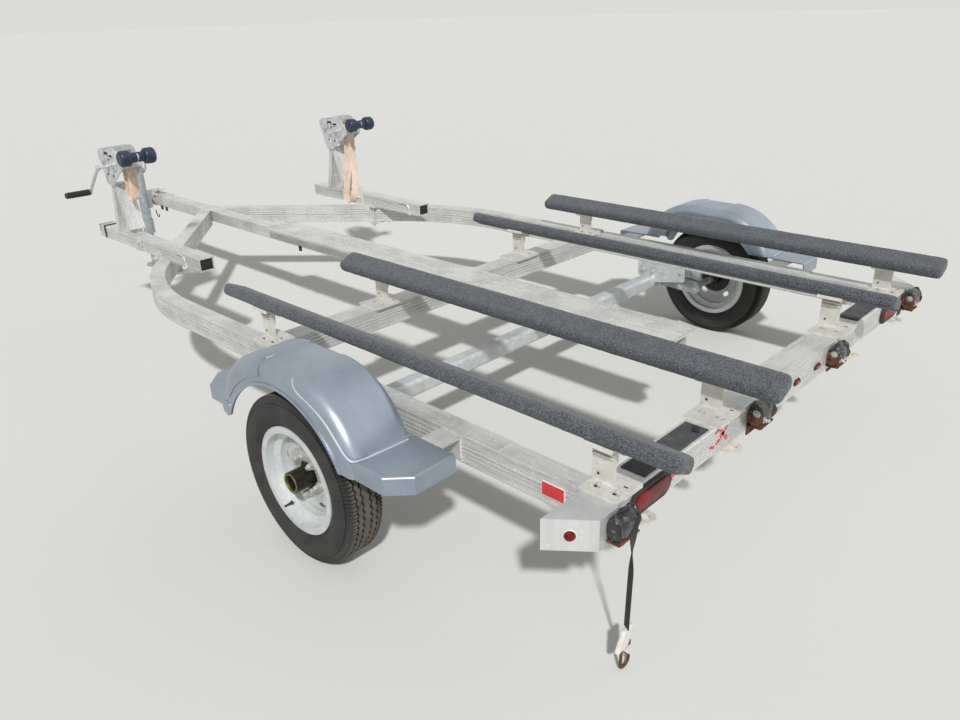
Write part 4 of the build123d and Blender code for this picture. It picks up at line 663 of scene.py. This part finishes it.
# Tyres: trailer bias-ply rubber with five ribs cut by zigzag grooves and notched shoulders; the
# tread is dusty brown where it rolls, the sidewall nearly black with fine moulded rings.
wheel_centre_x, wheel_radius = 1199, 263
tread_steps, notch = 276, 6.0
half_wall = [(47.0, 153.4), (50.4, 153.6), (50.6, 166), (51.5, 170.5), (55.5, 175), (60.5, 183), (61.4, 184.4),
             (62.4, 184.6), (64.6, 190), (66.3, 196), (66.0, 197.6), (67.0, 199), (67.8, 205), (68.0, 211),
             (67.5, 217), (67.0, 218.4), (67.3, 220.2), (66.3, 225), (64.2, 232), (61.2, 240),
             (60.4, 241.4), (60.2, 243.4), (58.4, 248.6), (57.6, 252.2), (55.2, 256.6), (52.0, 260.2),
             (46.5, 262.8)]
half_inside = [(44.0, 157.5), (46.5, 170), (57.0, 190), (60.0, 208), (57.5, 226), (47.0, 247.5), (30.0, 250.5)]
groove_depth, groove_top, groove_floor, zigzag = 7.0, 3.7, 2.5, 3.2
groove_middles = (33.0, 13.5, -13.5, -33.0)
tread = []
for middle in groove_middles:
    tread += [(middle + groove_top, wheel_radius), (middle + groove_floor, wheel_radius - groove_depth),
              (middle - groove_floor, wheel_radius - groove_depth), (middle - groove_top, wheel_radius)]
section = half_wall + tread + [(-x, r) for x, r in reversed(half_wall)]
section += [(-x, r) for x, r in half_inside] + list(reversed(half_inside)) + section[:1]

rubber = Finish("tyre_rubber", ("#242424", "#2E2D2C"), (0.62, 0.85), 50 * mm, 2 * mm, 0.3)
wheel_place = add(rubber.tree, "Mapping", {"Vector": rubber.place,
                                           "Location": (0, -axle_shift, -wheel_radius * mm)}).outputs[0]
flat_place = add(rubber.tree, "VectorMath", {0: wheel_place, 1: (0, 1, 1)}, operation="MULTIPLY").outputs[0]
radius = add(rubber.tree, "VectorMath", {0: flat_place}, operation="LENGTH").outputs["Value"]
rings = rubber.sum_of("SINE", rubber.sum_of("MULTIPLY", radius, 2 * math.pi / (3.2 * mm)))
on_wall = rubber.spread_of(radius, 0.249, 0.246)
rubber.raise_by(rubber.sum_of("MULTIPLY", rings, on_wall), 0.35 * mm, 0.6)
dust = rubber.sum_of("MULTIPLY", rubber.spread_of(radius, 0.2595, 0.2622),
                     rubber.spread_of(rubber.noise(30 * mm, 5, rubber.place), 0.3, 0.65, 0.45, 0.95))
rubber.cover(dust, "#665F56", 0.95)
grey_wall = rubber.sum_of("MULTIPLY", on_wall, rubber.blotches(60 * mm, 0.45, 0.7, 0.45))
rubber.cover(grey_wall, "#4B4947", 0.9)
rubber = rubber.done()
for side, name in ((-1, "left"), (1, "right")):
    shape = bmesh.new()
    centre = at(side * wheel_centre_x, 0, wheel_radius)
    turned(shape, section, centre, Vector((1, 0, 0)), tread_steps)
    for vertex in shape.verts:
        off = vertex.co - centre
        reach, turn = math.hypot(off.y, off.z), math.atan2(off.z, off.y) / (2 * math.pi) * tread_steps
        step = round(turn) % 4
        if abs(off.x) < 38 * mm and reach > 255 * mm:
            vertex.co.x += (1, 0, -1, 0)[step] * zigzag * mm
        elif 45 * mm < abs(off.x) and 241 * mm < reach and step % 2:
            vertex.co.x -= math.copysign(notch * mm, off.x)
            vertex.co.y, vertex.co.z = (centre.y + off.y * (1 - notch * mm / reach),
                                        centre.z + off.z * (1 - notch * mm / reach))
    piece = finish_piece("tyre_tread_" + name, shape, rubber, "wheel_" + name)
    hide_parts("tyre_" + name)


# Rims: pressed steel, galvanised nearly white with faint yellow and blue; a rubber valve stem
# stands in the left one. Hubs: cast iron black with grease, a brass ring round the open nose.
rim = Finish("galvanised_rim", ("#DADDDC", "#C8CCCC"), (0.38, 0.6), 40 * mm, 2 * mm, 0.15, 0.35)
rim.cover(rim.blotches(34 * mm, 0.55, 0.72, 0.45), "#D8D6BD", 0.5)
rim.cover(rim.blotches(60 * mm, 0.55, 0.72, 0.4), "#B8C4CC", 0.4)
rim.cover(rim.blotches(9 * mm, 0.6, 0.7, 0.5), "#F3F3F0", 0.7)
rim.cover(rim.blotches(15 * mm, 0.64, 0.74, 0.55), "#8C887C", 0.7)
rim_place = add(rim.tree, "Mapping", {"Vector": rim.place,
                                      "Location": (0, -axle_shift, -wheel_radius * mm)}).outputs[0]
rim_flat = add(rim.tree, "VectorMath", {0: rim_place, 1: (0, 1, 1)}, operation="MULTIPLY").outputs[0]
rim_reach = add(rim.tree, "VectorMath", {0: rim_flat}, operation="LENGTH").outputs["Value"]
rim.cover(rim.spread_of(rim_reach, 0.105, 0.045, 0, 0.6), "#8A8576", 0.7)
lathe_marks = rim.sum_of("SINE", rim.sum_of("MULTIPLY", rim_reach, 2 * math.pi / (9 * mm)))
rim.cover(rim.spread_of(lathe_marks, 0.5, 1, 0, 0.3), "#A9ADAA", 0.5)
rim.raise_by(lathe_marks, 0.4 * mm, 0.5)
dress(rim.done(), "rim_left", "rim_right")
greased = Finish("greasy_hub", ("#1B1A19", "#2B2721"), (0.22, 0.55), 15 * mm, 2.5 * mm, 0.5, 0.3)
greased.cover(greased.blotches(12 * mm, 0.55, 0.7, 0.6), "#4A4230", 0.6)
greased = greased.done()
dress(greased, "hub_left", "hub_right")
brass = Finish("brass_ring", ("#8B7E55", "#6A5D3A"), (0.3, 0.5), 12 * mm, 1.5 * mm, 0.3, 0.8)
brass = brass.done()
steel_nose = Finish("worn_spindle", ("#8D8A84", "#6F6A62"), (0.35, 0.6), 10 * mm, 1 * mm, 0.3, 0.7).done()
nut_zinc = Finish("plated_nuts", ("#C9CBC6", "#A9A99F"), (0.3, 0.55), 12 * mm, 1 * mm, 0.2, 0.6)
nut_zinc.cover(nut_zinc.blotches(10 * mm, 0.55, 0.7, 0.6), "#7C7460", 0.8)
nut_zinc = nut_zinc.done()
valve_rubber = Finish("valve_rubber", ("#1C1C1C", "#2A2928"), (0.5, 0.75), 10 * mm, 1 * mm, 0.2).done()
for side, name in ((-1, "left"), (1, "right")):
    out = Vector((side, 0, 0))
    nose, body = at(side * 1262, 0, wheel_radius), "wheel_" + name
    ring_shape = bmesh.new()
    turned(ring_shape, [(0, 24.8), (0, 32.5), (5.5, 32.5), (8, 30.5), (8.6, 28), (8, 25.5), (6.5, 24.8), (0, 24.8)],
           nose, out, 40)
    finish_piece("hub_ring_" + name, ring_shape, brass, body)
    nut_shape = bmesh.new()
    bolt(nut_shape, at(side * 1235, 0, wheel_radius), out, 26, 0.1, 0.4)
    finish_piece("spindle_nut_" + name, nut_shape, steel_nose)
    nut_ring = bmesh.new()
    for index in range(5):
        turn = math.radians(180 + 72 * index)
        spot = at(side * 1213, -57.15 * math.sin(turn) * side, wheel_radius + 57.15 * math.cos(turn))
        turned(nut_ring, [(-2, 0), (-2, 14.5), (0, 14.5), (1.5, 12.5), (9, 11.3), (14, 10.4), (16.6, 8.2), (17, 0)],
               spot, out, 6)
        turned(nut_ring, [(-4, 0), (-4, 15.8), (-1, 15.8), (0.4, 14.6), (0.4, 0)], spot, out, 24)
        knob(nut_ring, spot + out * 16.5 * mm, out, 5.8, 5, 1.5, 16)
    nuts = finish_piece("wheel_nuts_" + name, nut_ring, nut_zinc, body)
    valve_shape = bmesh.new()
    turned(valve_shape, [(-14, 0), (-14, 5.5), (-2, 5.8), (0, 7.6), (2, 7.4), (4, 5.4), (16, 4.2), (17, 3.6),
                         (20, 3.6), (21, 4.2), (27, 4.2), (28, 3.4), (28, 0)],
           at(side * 1226, 82, 138), Vector((side * 0.96, 0.02, -0.02)).normalized(), 20)
    finish_piece("valve_stem_" + name, valve_shape, valve_rubber, body)


# Fenders: rotomoulded plastic, satin blue-silver, paler and polished where rubbed on its shoulders,
# with scuffs and a fine dust.
plastic = Finish("moulded_fender", ("#9FA9B6", "#8E98A5"), (0.3, 0.43), 200 * mm, 1.2 * mm, 0.12, 0.62)
plastic.cover(plastic.blotches(70 * mm, 0.52, 0.75, 0.45), "#A3ABB5", 0.5)
scuffs = plastic.noise(5 * mm, 3, add(plastic.tree, "Mapping", {"Vector": plastic.place,
                                                                "Scale": (1, 0.25, 1)}).outputs[0])
plastic.cover(plastic.spread_of(scuffs, 0.66, 0.72, 0, 0.6), "#C8CDD2", 0.55)
plastic.cover(plastic.blotches(16 * mm, 0.66, 0.74, 0.45), "#6F7780", 0.6)
plastic.shader.inputs["Coat Weight"].default_value = 0.25
plastic.shader.inputs["Coat Roughness"].default_value = 0.25
dress(plastic.done(), "fender_left", "fender_right")
# Raised beads along the fender's crown, arch and rear step, coloured paler than the fender: a painted highlight on its
# creases.
bead_highlight_finish = Finish("fender_bead", ("#C9CFD6", "#B4BCC5"), (0.3, 0.5), 60 * mm, 1 * mm, 0.1, 0.3)
bead_shape = bmesh.new()
for side in (-1, 1):
    bent_bar(bead_shape, [(side * x, y, z) for x, y, z in (
        (1096, -56, 621.6), (1150, -56, 621.8), (1240, -58, 621.2), (1262, -68, 611), (1270.8, -88, 592),
        (1271, -114, 580), (1271, -154, 567), (1271, -195, 548), (1271, -228, 523), (1271, -252, 498),
        (1271, -276, 474), (1270, -300, 458), (1262, -312, 453), (1200, -320, 452),
        (1090, -323, 452))], 3.0)
    bent_bar(bead_shape, [(side * x, y, z) for x, y, z in (
        (1094, 92, 621.5), (1150, 92, 621.8), (1240, 88, 621))], 3.2)
finish_piece("fender_beads", bead_shape, bead_highlight_finish.done())


# Lamps: dark red lenses moulded with fine prisms, each in its black rubber grommet; the reflectors
# are bright red fields in a pale border.
def plate(shape, place, out, width, height, corner, thickness, edge, across=Vector((1, 0, 0))):
    """A flat plate with rounded corners standing on a face, its rim eased; gives its front face."""
    turn = Matrix((across, out.cross(across), out)).transposed().to_4x4()
    move = Matrix.Translation(place) @ turn
    made = bmesh.ops.create_grid(shape, x_segments=1, y_segments=1, size=0.5,
                                 matrix=move @ Matrix.Diagonal((width * mm, height * mm, 1, 1)))["verts"]
    front = made[0].link_faces[0]
    if corner:
        done = bmesh.ops.bevel(shape, geom=made, offset=corner * mm, segments=6, profile=0.5,
                               affect="VERTICES", material=-1)
        front = max(done["verts"][0].link_faces, key=lambda face: face.calc_area())
    made = bmesh.ops.extrude_face_region(shape, geom=[front])["geom"]
    fresh = [part for part in made if isinstance(part, bmesh.types.BMVert)]
    front = max((part for part in made if isinstance(part, bmesh.types.BMFace)),
                key=lambda face: face.calc_area())
    bmesh.ops.translate(shape, verts=fresh, vec=out * (thickness - edge) * mm)
    bmesh.ops.recalc_face_normals(shape, faces=shape.faces)
    for inwards, upwards in ((0.3, 0.7), (0.7, 0.3)):
        bmesh.ops.inset_region(shape, faces=[front], thickness=edge * inwards * mm,
                               depth=edge * upwards * mm, use_even_offset=True)
    return front


lens = Finish("red_lens", ("#7C0C15", "#5E0910"), (0.12, 0.25), 30 * mm, 2 * mm, 0.05)
prisms = lens.sum_of("SINE", lens.sum_of("MULTIPLY", lens.along(0), 2 * math.pi / (4.5 * mm)))
lens.raise_by(prisms, 0.5 * mm, 0.5)
lens.cover(lens.spread_of(prisms, 0.3, 1, 0, 0.45), "#A5141F", 0.2)
lens.shader.inputs["Specular IOR Level"].default_value = 0.3
lens = lens.done()
grommet = Finish("rubber_grommet", ("#1E1E1F", "#2C2C2D"), (0.5, 0.75), 20 * mm, 1.5 * mm, 0.2).done()
lens_shape, grommet_shape, pale_shape = bmesh.new(), bmesh.new(), bmesh.new()
back = Vector((0, -1, 0))
for side in (-1, 1):
    front = plate(grommet_shape, at(side * 825, -905, 407.5), back, 178, 72, 34.5, 9, 3)
    bmesh.ops.inset_region(grommet_shape, faces=[front], thickness=8 * mm, depth=0)
    bmesh.ops.inset_region(grommet_shape, faces=[front], thickness=0.6 * mm, depth=-3 * mm)
    plate(lens_shape, at(side * 825, -910, 407.5), back, 152, 47, 22, 8, 4.5)
for x in (-154, 0, 154):
    front = plate(grommet_shape, at(x, -910, 407.5), back, 42, 20, 9.2, 3.5, 1)
    plate(lens_shape, at(x, -913, 407.5), back, 36, 15, 6.8, 4.5, 2.5)
    # A pale dot on each small lens: painted highlight.
    knob(pale_shape, at(x, -917.4, 407.5), back, 2.4, 0.6, 0.2, 12)
for side in (-1, 1):
    facing = Vector((side * 0.7815, -0.624, 0)).normalized()
    spot = at(side * 1092.5, -867, 407.5)
    knob(pale_shape, spot, facing, 15.8, 2.2, 1, 32)
    knob(grommet_shape, spot, facing, 14, 3.5, 1, 32)
    turned(lens_shape, [(3, 0), (3, 12.5), (6, 12), (8, 9), (9, 5), (9.2, 0)], spot, facing, 32)
finish_piece("lamp_grommets", grommet_shape, grommet)
lamp_lenses = finish_piece("lamp_lenses", lens_shape, lens)
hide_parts("tail_lamps", "marker_lamps")

border = Finish("reflector_border", ("#E8E3DC", "#D5CFC8"), (0.4, 0.6), 15 * mm, 1 * mm, 0.1).done()
field = Finish("reflector_red", ("#C81F22", "#B0171B"), (0.2, 0.35), 25 * mm, 1 * mm, 0.05)
cells = add(field.tree, "TexVoronoi", {"Vector": field.place, "Scale": 1 / (3.5 * mm)}).outputs["Distance"]
field.raise_by(cells, 0.3 * mm, 0.4)
field.cover(field.spread_of(cells, 0.2, 0.6, 0, 0.35), "#E2483F", 0.2)
field = field.done()
border_shape, field_shape = bmesh.new(), bmesh.new()
for side in (-1, 1):
    out = Vector((side, 0, 0))
    plate(border_shape, at(side * 979, -729, 407.5), out, 74, 42, 3, 1.8, 0.5, Vector((0, 1, 0)))
    plate(field_shape, at(side * 980.6, -729, 407.5), out, 68, 36, 2, 1.6, 0.5, Vector((0, 1, 0)))
reflector = finish_piece("reflector_fields", field_shape, field)
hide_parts("reflectors")
finish_piece("reflector_borders", border_shape, border)
finish_piece("lamp_trims_and_glints", pale_shape, border)


# Strap reels: black moulded covers over wound webbing, with pale patches that are partly wear
# and partly painted highlight, on brackets of rusty pressed steel with whitish bolts.
def reel_finish(name, wear_and_highlight, rusted_share):
    """Glossy black rubber over a wound strap, with pale patches of wear and painted highlight, rust-stained."""
    made = Finish(name, ("#0F1013", "#1C1D22"), (0.16, 0.42), 25 * mm, 4 * mm, 0.8)
    # Pale patches: partly wear, partly painted highlight on the glossy lumps.
    made.cover(made.blotches(8 * mm, wear_and_highlight, wear_and_highlight + 0.06, 0.85), "#C9C8C4", 0.5)
    made.cover(made.blotches(24 * mm, rusted_share, rusted_share + 0.08, 0.9), "#6E4028", 0.85)
    made.shader.inputs["Coat Weight"].default_value = 0.5
    made.shader.inputs["Coat Roughness"].default_value = 0.2
    return made.done()


glossy_cover, rusty_cover = reel_finish("reel_cover", 0.64, 0.70), reel_finish("rusty_reel_cover", 0.64, 0.585)
reel_profile = [(-42, 0), (-42, 24), (-40, 31), (-36, 35.5), (-30, 33), (-22, 35), (-12, 36.5), (-2, 35),
                (8, 36.5), (18, 35.5), (26, 33.5), (30, 30), (33, 35), (37, 36), (41, 31), (42, 24), (42, 0)]
plate_shape, nut_shape = bmesh.new(), bmesh.new()
for reel_name, x, y, cover in (("reel_outer_left", -985, -938, glossy_cover), ("reel_inner_left", -275, -929, rusty_cover),
                               ("reel_inner_right", 275, -929, rusty_cover), ("reel_outer_right", 985, -938, rusty_cover)):
    shape = bmesh.new()
    centre = at(x, y, 419)
    turned(shape, reel_profile, centre, Vector((1, 0, 0)), 40)
    for vertex in shape.verts:
        lump = noise.noise_vector(vertex.co * 42) * 8 * mm + noise.noise_vector(vertex.co * 110) * 3 * mm
        vertex.co.y = centre.y + (vertex.co.y - centre.y) * 0.62
        vertex.co += Vector((lump.x * 0.3, lump.y * 0.5, lump.z * 0.8))
    piece = finish_piece(reel_name + "_cover", shape, cover)
    if reel_name == "reel_outer_left":
        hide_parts("reel_cases")
    for end in (-1, 1) if cover is rusty_cover else ():
        turned(plate_shape, [(0, 0), (0, 24), (1.6, 25.5), (3, 24.5), (3, 0)], centre + Vector((end * 43 * mm, 0, -6 * mm)),
               Vector((end, 0, 0)), 9)
        bolt(plate_shape, centre + Vector((end * 44 * mm, 0, 0)), Vector((end, 0, 0)), 13)
    turn = Matrix.Rotation(0.5, 4, "Y")
    boxed(plate_shape, (x - 30, y - 14, 374), (x - 6, y - 9, 402), 1.5, turn)
    boxed(plate_shape, (x - 38, y - 20, 381), (x + 30, y + 12, 388), 1.5)
    if cover is rusty_cover:
        bolt(nut_shape, at(x - 26, y - 20, 408), Vector((0, -1, 0)), 11)
        bolt(nut_shape, at(x - 45, y - 4, 430), Vector((-1, 0, 0)), 12)
        bolt(nut_shape, at(x - 2, y - 20, 398), Vector((0, -0.8, -0.6)), 10)
finish_piece("reel_plates", plate_shape, rusted)
finish_piece("reel_nuts", nut_shape, nut_zinc)
dress(rusted, "reel_brackets")

# Winches: zinc-plated pressed plates gone chalky, a toothed wheel outside, thin dark patches on
# the plates as painted shade where slots and holes go through them; the strap is wound on the drum between them.
plated = Finish("zinc_plated", ("#D6D8D8", "#BDC0C2"), (0.35, 0.6), 30 * mm, 1.5 * mm, 0.2, 0.5)
plated.cover(plated.blotches(14 * mm, 0.58, 0.72, 0.6), "#EDEBE4", 0.7)
plated.cover(plated.blotches(18 * mm, 0.64, 0.74, 0.5), "#9A7B5E", 0.85)
plated = plated.done()
dress(plated, "winch_left", "winch_right", "coupler_latch", "roller_arm_left", "roller_arm_right")
gear_shape, hole_shape, wrap_shape, grip_shape, arm_shape = (bmesh.new() for _ in range(5))
for side, name in ((-1, "left"), (1, "right")):
    seen = Vector((-1, 0, 0))
    for face in (-1, 1):
        out = Vector((face, 0, 0))
        skin = side * 661 + face * 50.2
        for y, z, radius in ((2206, 802, 6), (2262, 806, 6), (2292, 852, 5)):
            knob(hole_shape, at(skin, y, z), out, radius, 0.5, 0.2, 20)
        boxed(hole_shape, (skin - 0.5, 2226, 872), (skin + 0.5, 2262, 912), 0.4)
        boxed(hole_shape, (skin - 0.5, 2182, 880), (skin + 0.5, 2214, 902), 0.4)
        turned(gear_shape, [(0, 0), (0, 16), (4, 16), (4, 7), (7, 6), (7, 0)], at(skin, 2244, 886), out, 14)
        boxed(gear_shape, (min(skin, skin + face * 4), 2196, 884), (max(skin, skin + face * 4), 2246, 892), 1)
        boxed(gear_shape, (min(skin, skin + face * 9), 2262, 868), (max(skin, skin + face * 9), 2300, 922), 2.5)
        turned(gear_shape, [(0, 0), (0, 30), (3, 30), (3, 12), (9, 11), (10, 9), (10, 0)], at(skin, 2174, 860), out, 36)
        bolt(gear_shape, at(skin + face * 10, 2174, 860), out, 13)
        bolt(gear_shape, at(skin, 2240, 845), out, 20, 0.12, 0.5)
        for tooth in range(18):
            turn = Matrix.Rotation(math.radians(20 * tooth), 4, "X")
            spot = at(skin + face * 1.5, 2174, 860) + turn.to_3x3() @ Vector((0, 0, 31 * mm))
            bmesh.ops.create_cube(gear_shape, size=1, matrix=Matrix.Translation(spot) @ turn
                                  @ Matrix.Diagonal((3 * mm, 5 * mm, 6 * mm, 1)))
    turned(wrap_shape, [(-23, 0), (-23, 30), (-22, 32.6), (-11, 33.4), (0, 32.8), (11, 33.6), (22, 32.6), (23, 30), (23, 0)],
           at(side * 661, 2174, 860), Vector((1, 0, 0)), 36)
finish_piece("winch_gears", gear_shape, plated)
finish_piece("winch_holes", hole_shape, painted_shade_patch)
dusty_webbing = Finish("wound_webbing", ("#E3C4A8", "#CFA27F"), (0.8, 0.95), 20 * mm, 1.5 * mm, 0.5)
finish_piece("winch_wraps", wrap_shape, dusty_webbing.done())


# Winch cranks: flat plated arm on a square shaft and a ribbed black grip that spins on its pin.
grip_rubber = Finish("ribbed_grip", ("#1A1A1B", "#29292A"), (0.45, 0.7), 25 * mm, 1.5 * mm, 0.3).done()
for side, name in ((-1, "left"), (1, "right")):
    out, body = Vector((side, 0, 0)), "winch_handle_" + name
    arm = bmesh.new()
    bent_bar(arm, ((side * 700, 2240, 845), (side * 745, 2240, 845), (side * 762, 2242, 842),
                   (side * 767, 2256, 830), (side * 767, 2290, 799), (side * 767, 2389, 711)), 7.5)
    turned(arm, [(-8, 0), (-8, 11), (-6, 13), (4, 13), (6, 11), (6, 0)], at(side * 765, 2240, 845), out, 24)
    turned(arm, [(-5, 0), (-5, 11), (-3, 13), (3, 13), (5, 11), (5, 0)], at(side * 767, 2388.6, 711.2), out, 24)
    piece = finish_piece("crank_arm_" + name, arm, plated, body)
    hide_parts("winch_crank_" + name)
    ribs = [(0, 0), (0, 12), (2, 14)]
    for index in range(9):
        ribs += [(6 + index * 11.6, 15.6), (9.4 + index * 11.6, 15.9), (10.4 + index * 11.6, 13.8), (13.4 + index * 11.6, 13.8)]
    grip = bmesh.new()
    turned(grip, ribs + [(114, 15), (118, 12), (118, 0)], at(side * 770, 2388.6, 711.2), out, 28)
    finish_piece("crank_grip_" + name, grip, grip_rubber, body)


# Jack: galvanised tube, bluish and streaked, on a mount gone to rust; a small black wire hook
# hangs beside it.
tube_zinc = dipped("jack_galvanising", ("#A3A9AC", "#8D9598"), 9 * mm, "#8F7B62")
dress(tube_zinc, "jack_tube", "jack_crank")
mount_paint = Finish("rusted_mount", ("#CFCBC2", "#B5AFA4"), (0.5, 0.75), 30 * mm, 2 * mm, 0.4, 0.25)
mount_paint.cover(mount_paint.blotches(22 * mm, 0.5, 0.6, 0.85), "#7A4B31", 0.9)
dress(mount_paint.done(), "jack_mount")
wire_shape = bmesh.new()
bent_bar(wire_shape, ((-44, 3325, 352), (-44, 3325, 325), (-44, 3310, 310), (-44, 3290, 312), (-44, 3288, 330)), 3)
for y in (1708, 3240, 3180):
    boxed(wire_shape, (-43, y - 9, 366), (-33, y + 9, 392), 2)
finish_piece("tongue_clips", wire_shape, grip_rubber)
finish_piece("pad_clip", clip_shape, grip_rubber)


# Rods bent over the beams clamp each to the rail; a dark band round the left beam near its front is a painted shadow.
rod_shape = bmesh.new()
for x, y in ((623, 1632), (-699, 1670)):
    bent_bar(rod_shape, ((x - 3, y + 40, 505), (x - 3, y, 507), (x - 3, y - 34, 500), (x - 3, y - 44, 478),
                         (x - 3, y - 44, 440)), 4.5)
    bolt(rod_shape, at(x - 3, y - 44, 452), Vector((0, 0, 1)), 12)
plate_shape = bmesh.new()
for shape, face, rear, front, top in ((rod_shape, -699, 2072, 2118, 516), (plate_shape, 623, 1994, 2078, 556)):
    boxed(shape, (face - 4, rear, 451), (face, front, top), 1.5)
    boxed(shape, (face - 14, rear, 451), (face, front, 455), 1.5)
    bolt(shape, at(face - 4, (rear + front) / 2, 492), Vector((-1, 0, 0)), 12)
finish_piece("beam_plate_right", plate_shape, bracket_plate)
finish_piece("clamp_rods", rod_shape, pale_zinc)
# Dark plates just inside the open ends of both beams: painted shade in their hollows.
plug_shape = bmesh.new()
for side, front in ((-1, 2556), (1, 2479)):
    for y in (1516, front - 4):
        boxed(plug_shape, (side * 661 - 33.5, y - 2, 454), (side * 661 + 33.5, y + 2, 506), 1)
finish_piece("beam_plugs", plug_shape, painted_shade_patch)
# Painted shadow: a black band across the left beam.
shadow_band_shape = bmesh.new()
boxed(shadow_band_shape, (-701, 2478, 448), (-621, 2500, 513), 2)
finish_piece("beam_shadow_band", shadow_band_shape, grip_rubber)
navy = Finish("navy_roller", ("#1A2338", "#253046"), (0.3, 0.5), 30 * mm, 2 * mm, 0.15)
navy.cover(navy.blotches(30 * mm, 0.58, 0.75, 0.4), "#4A5060", 0.7)
dress(navy.done(), "bow_roller_left", "bow_roller_right")
finish_piece("frame_bolts", hardware_shape, plated)
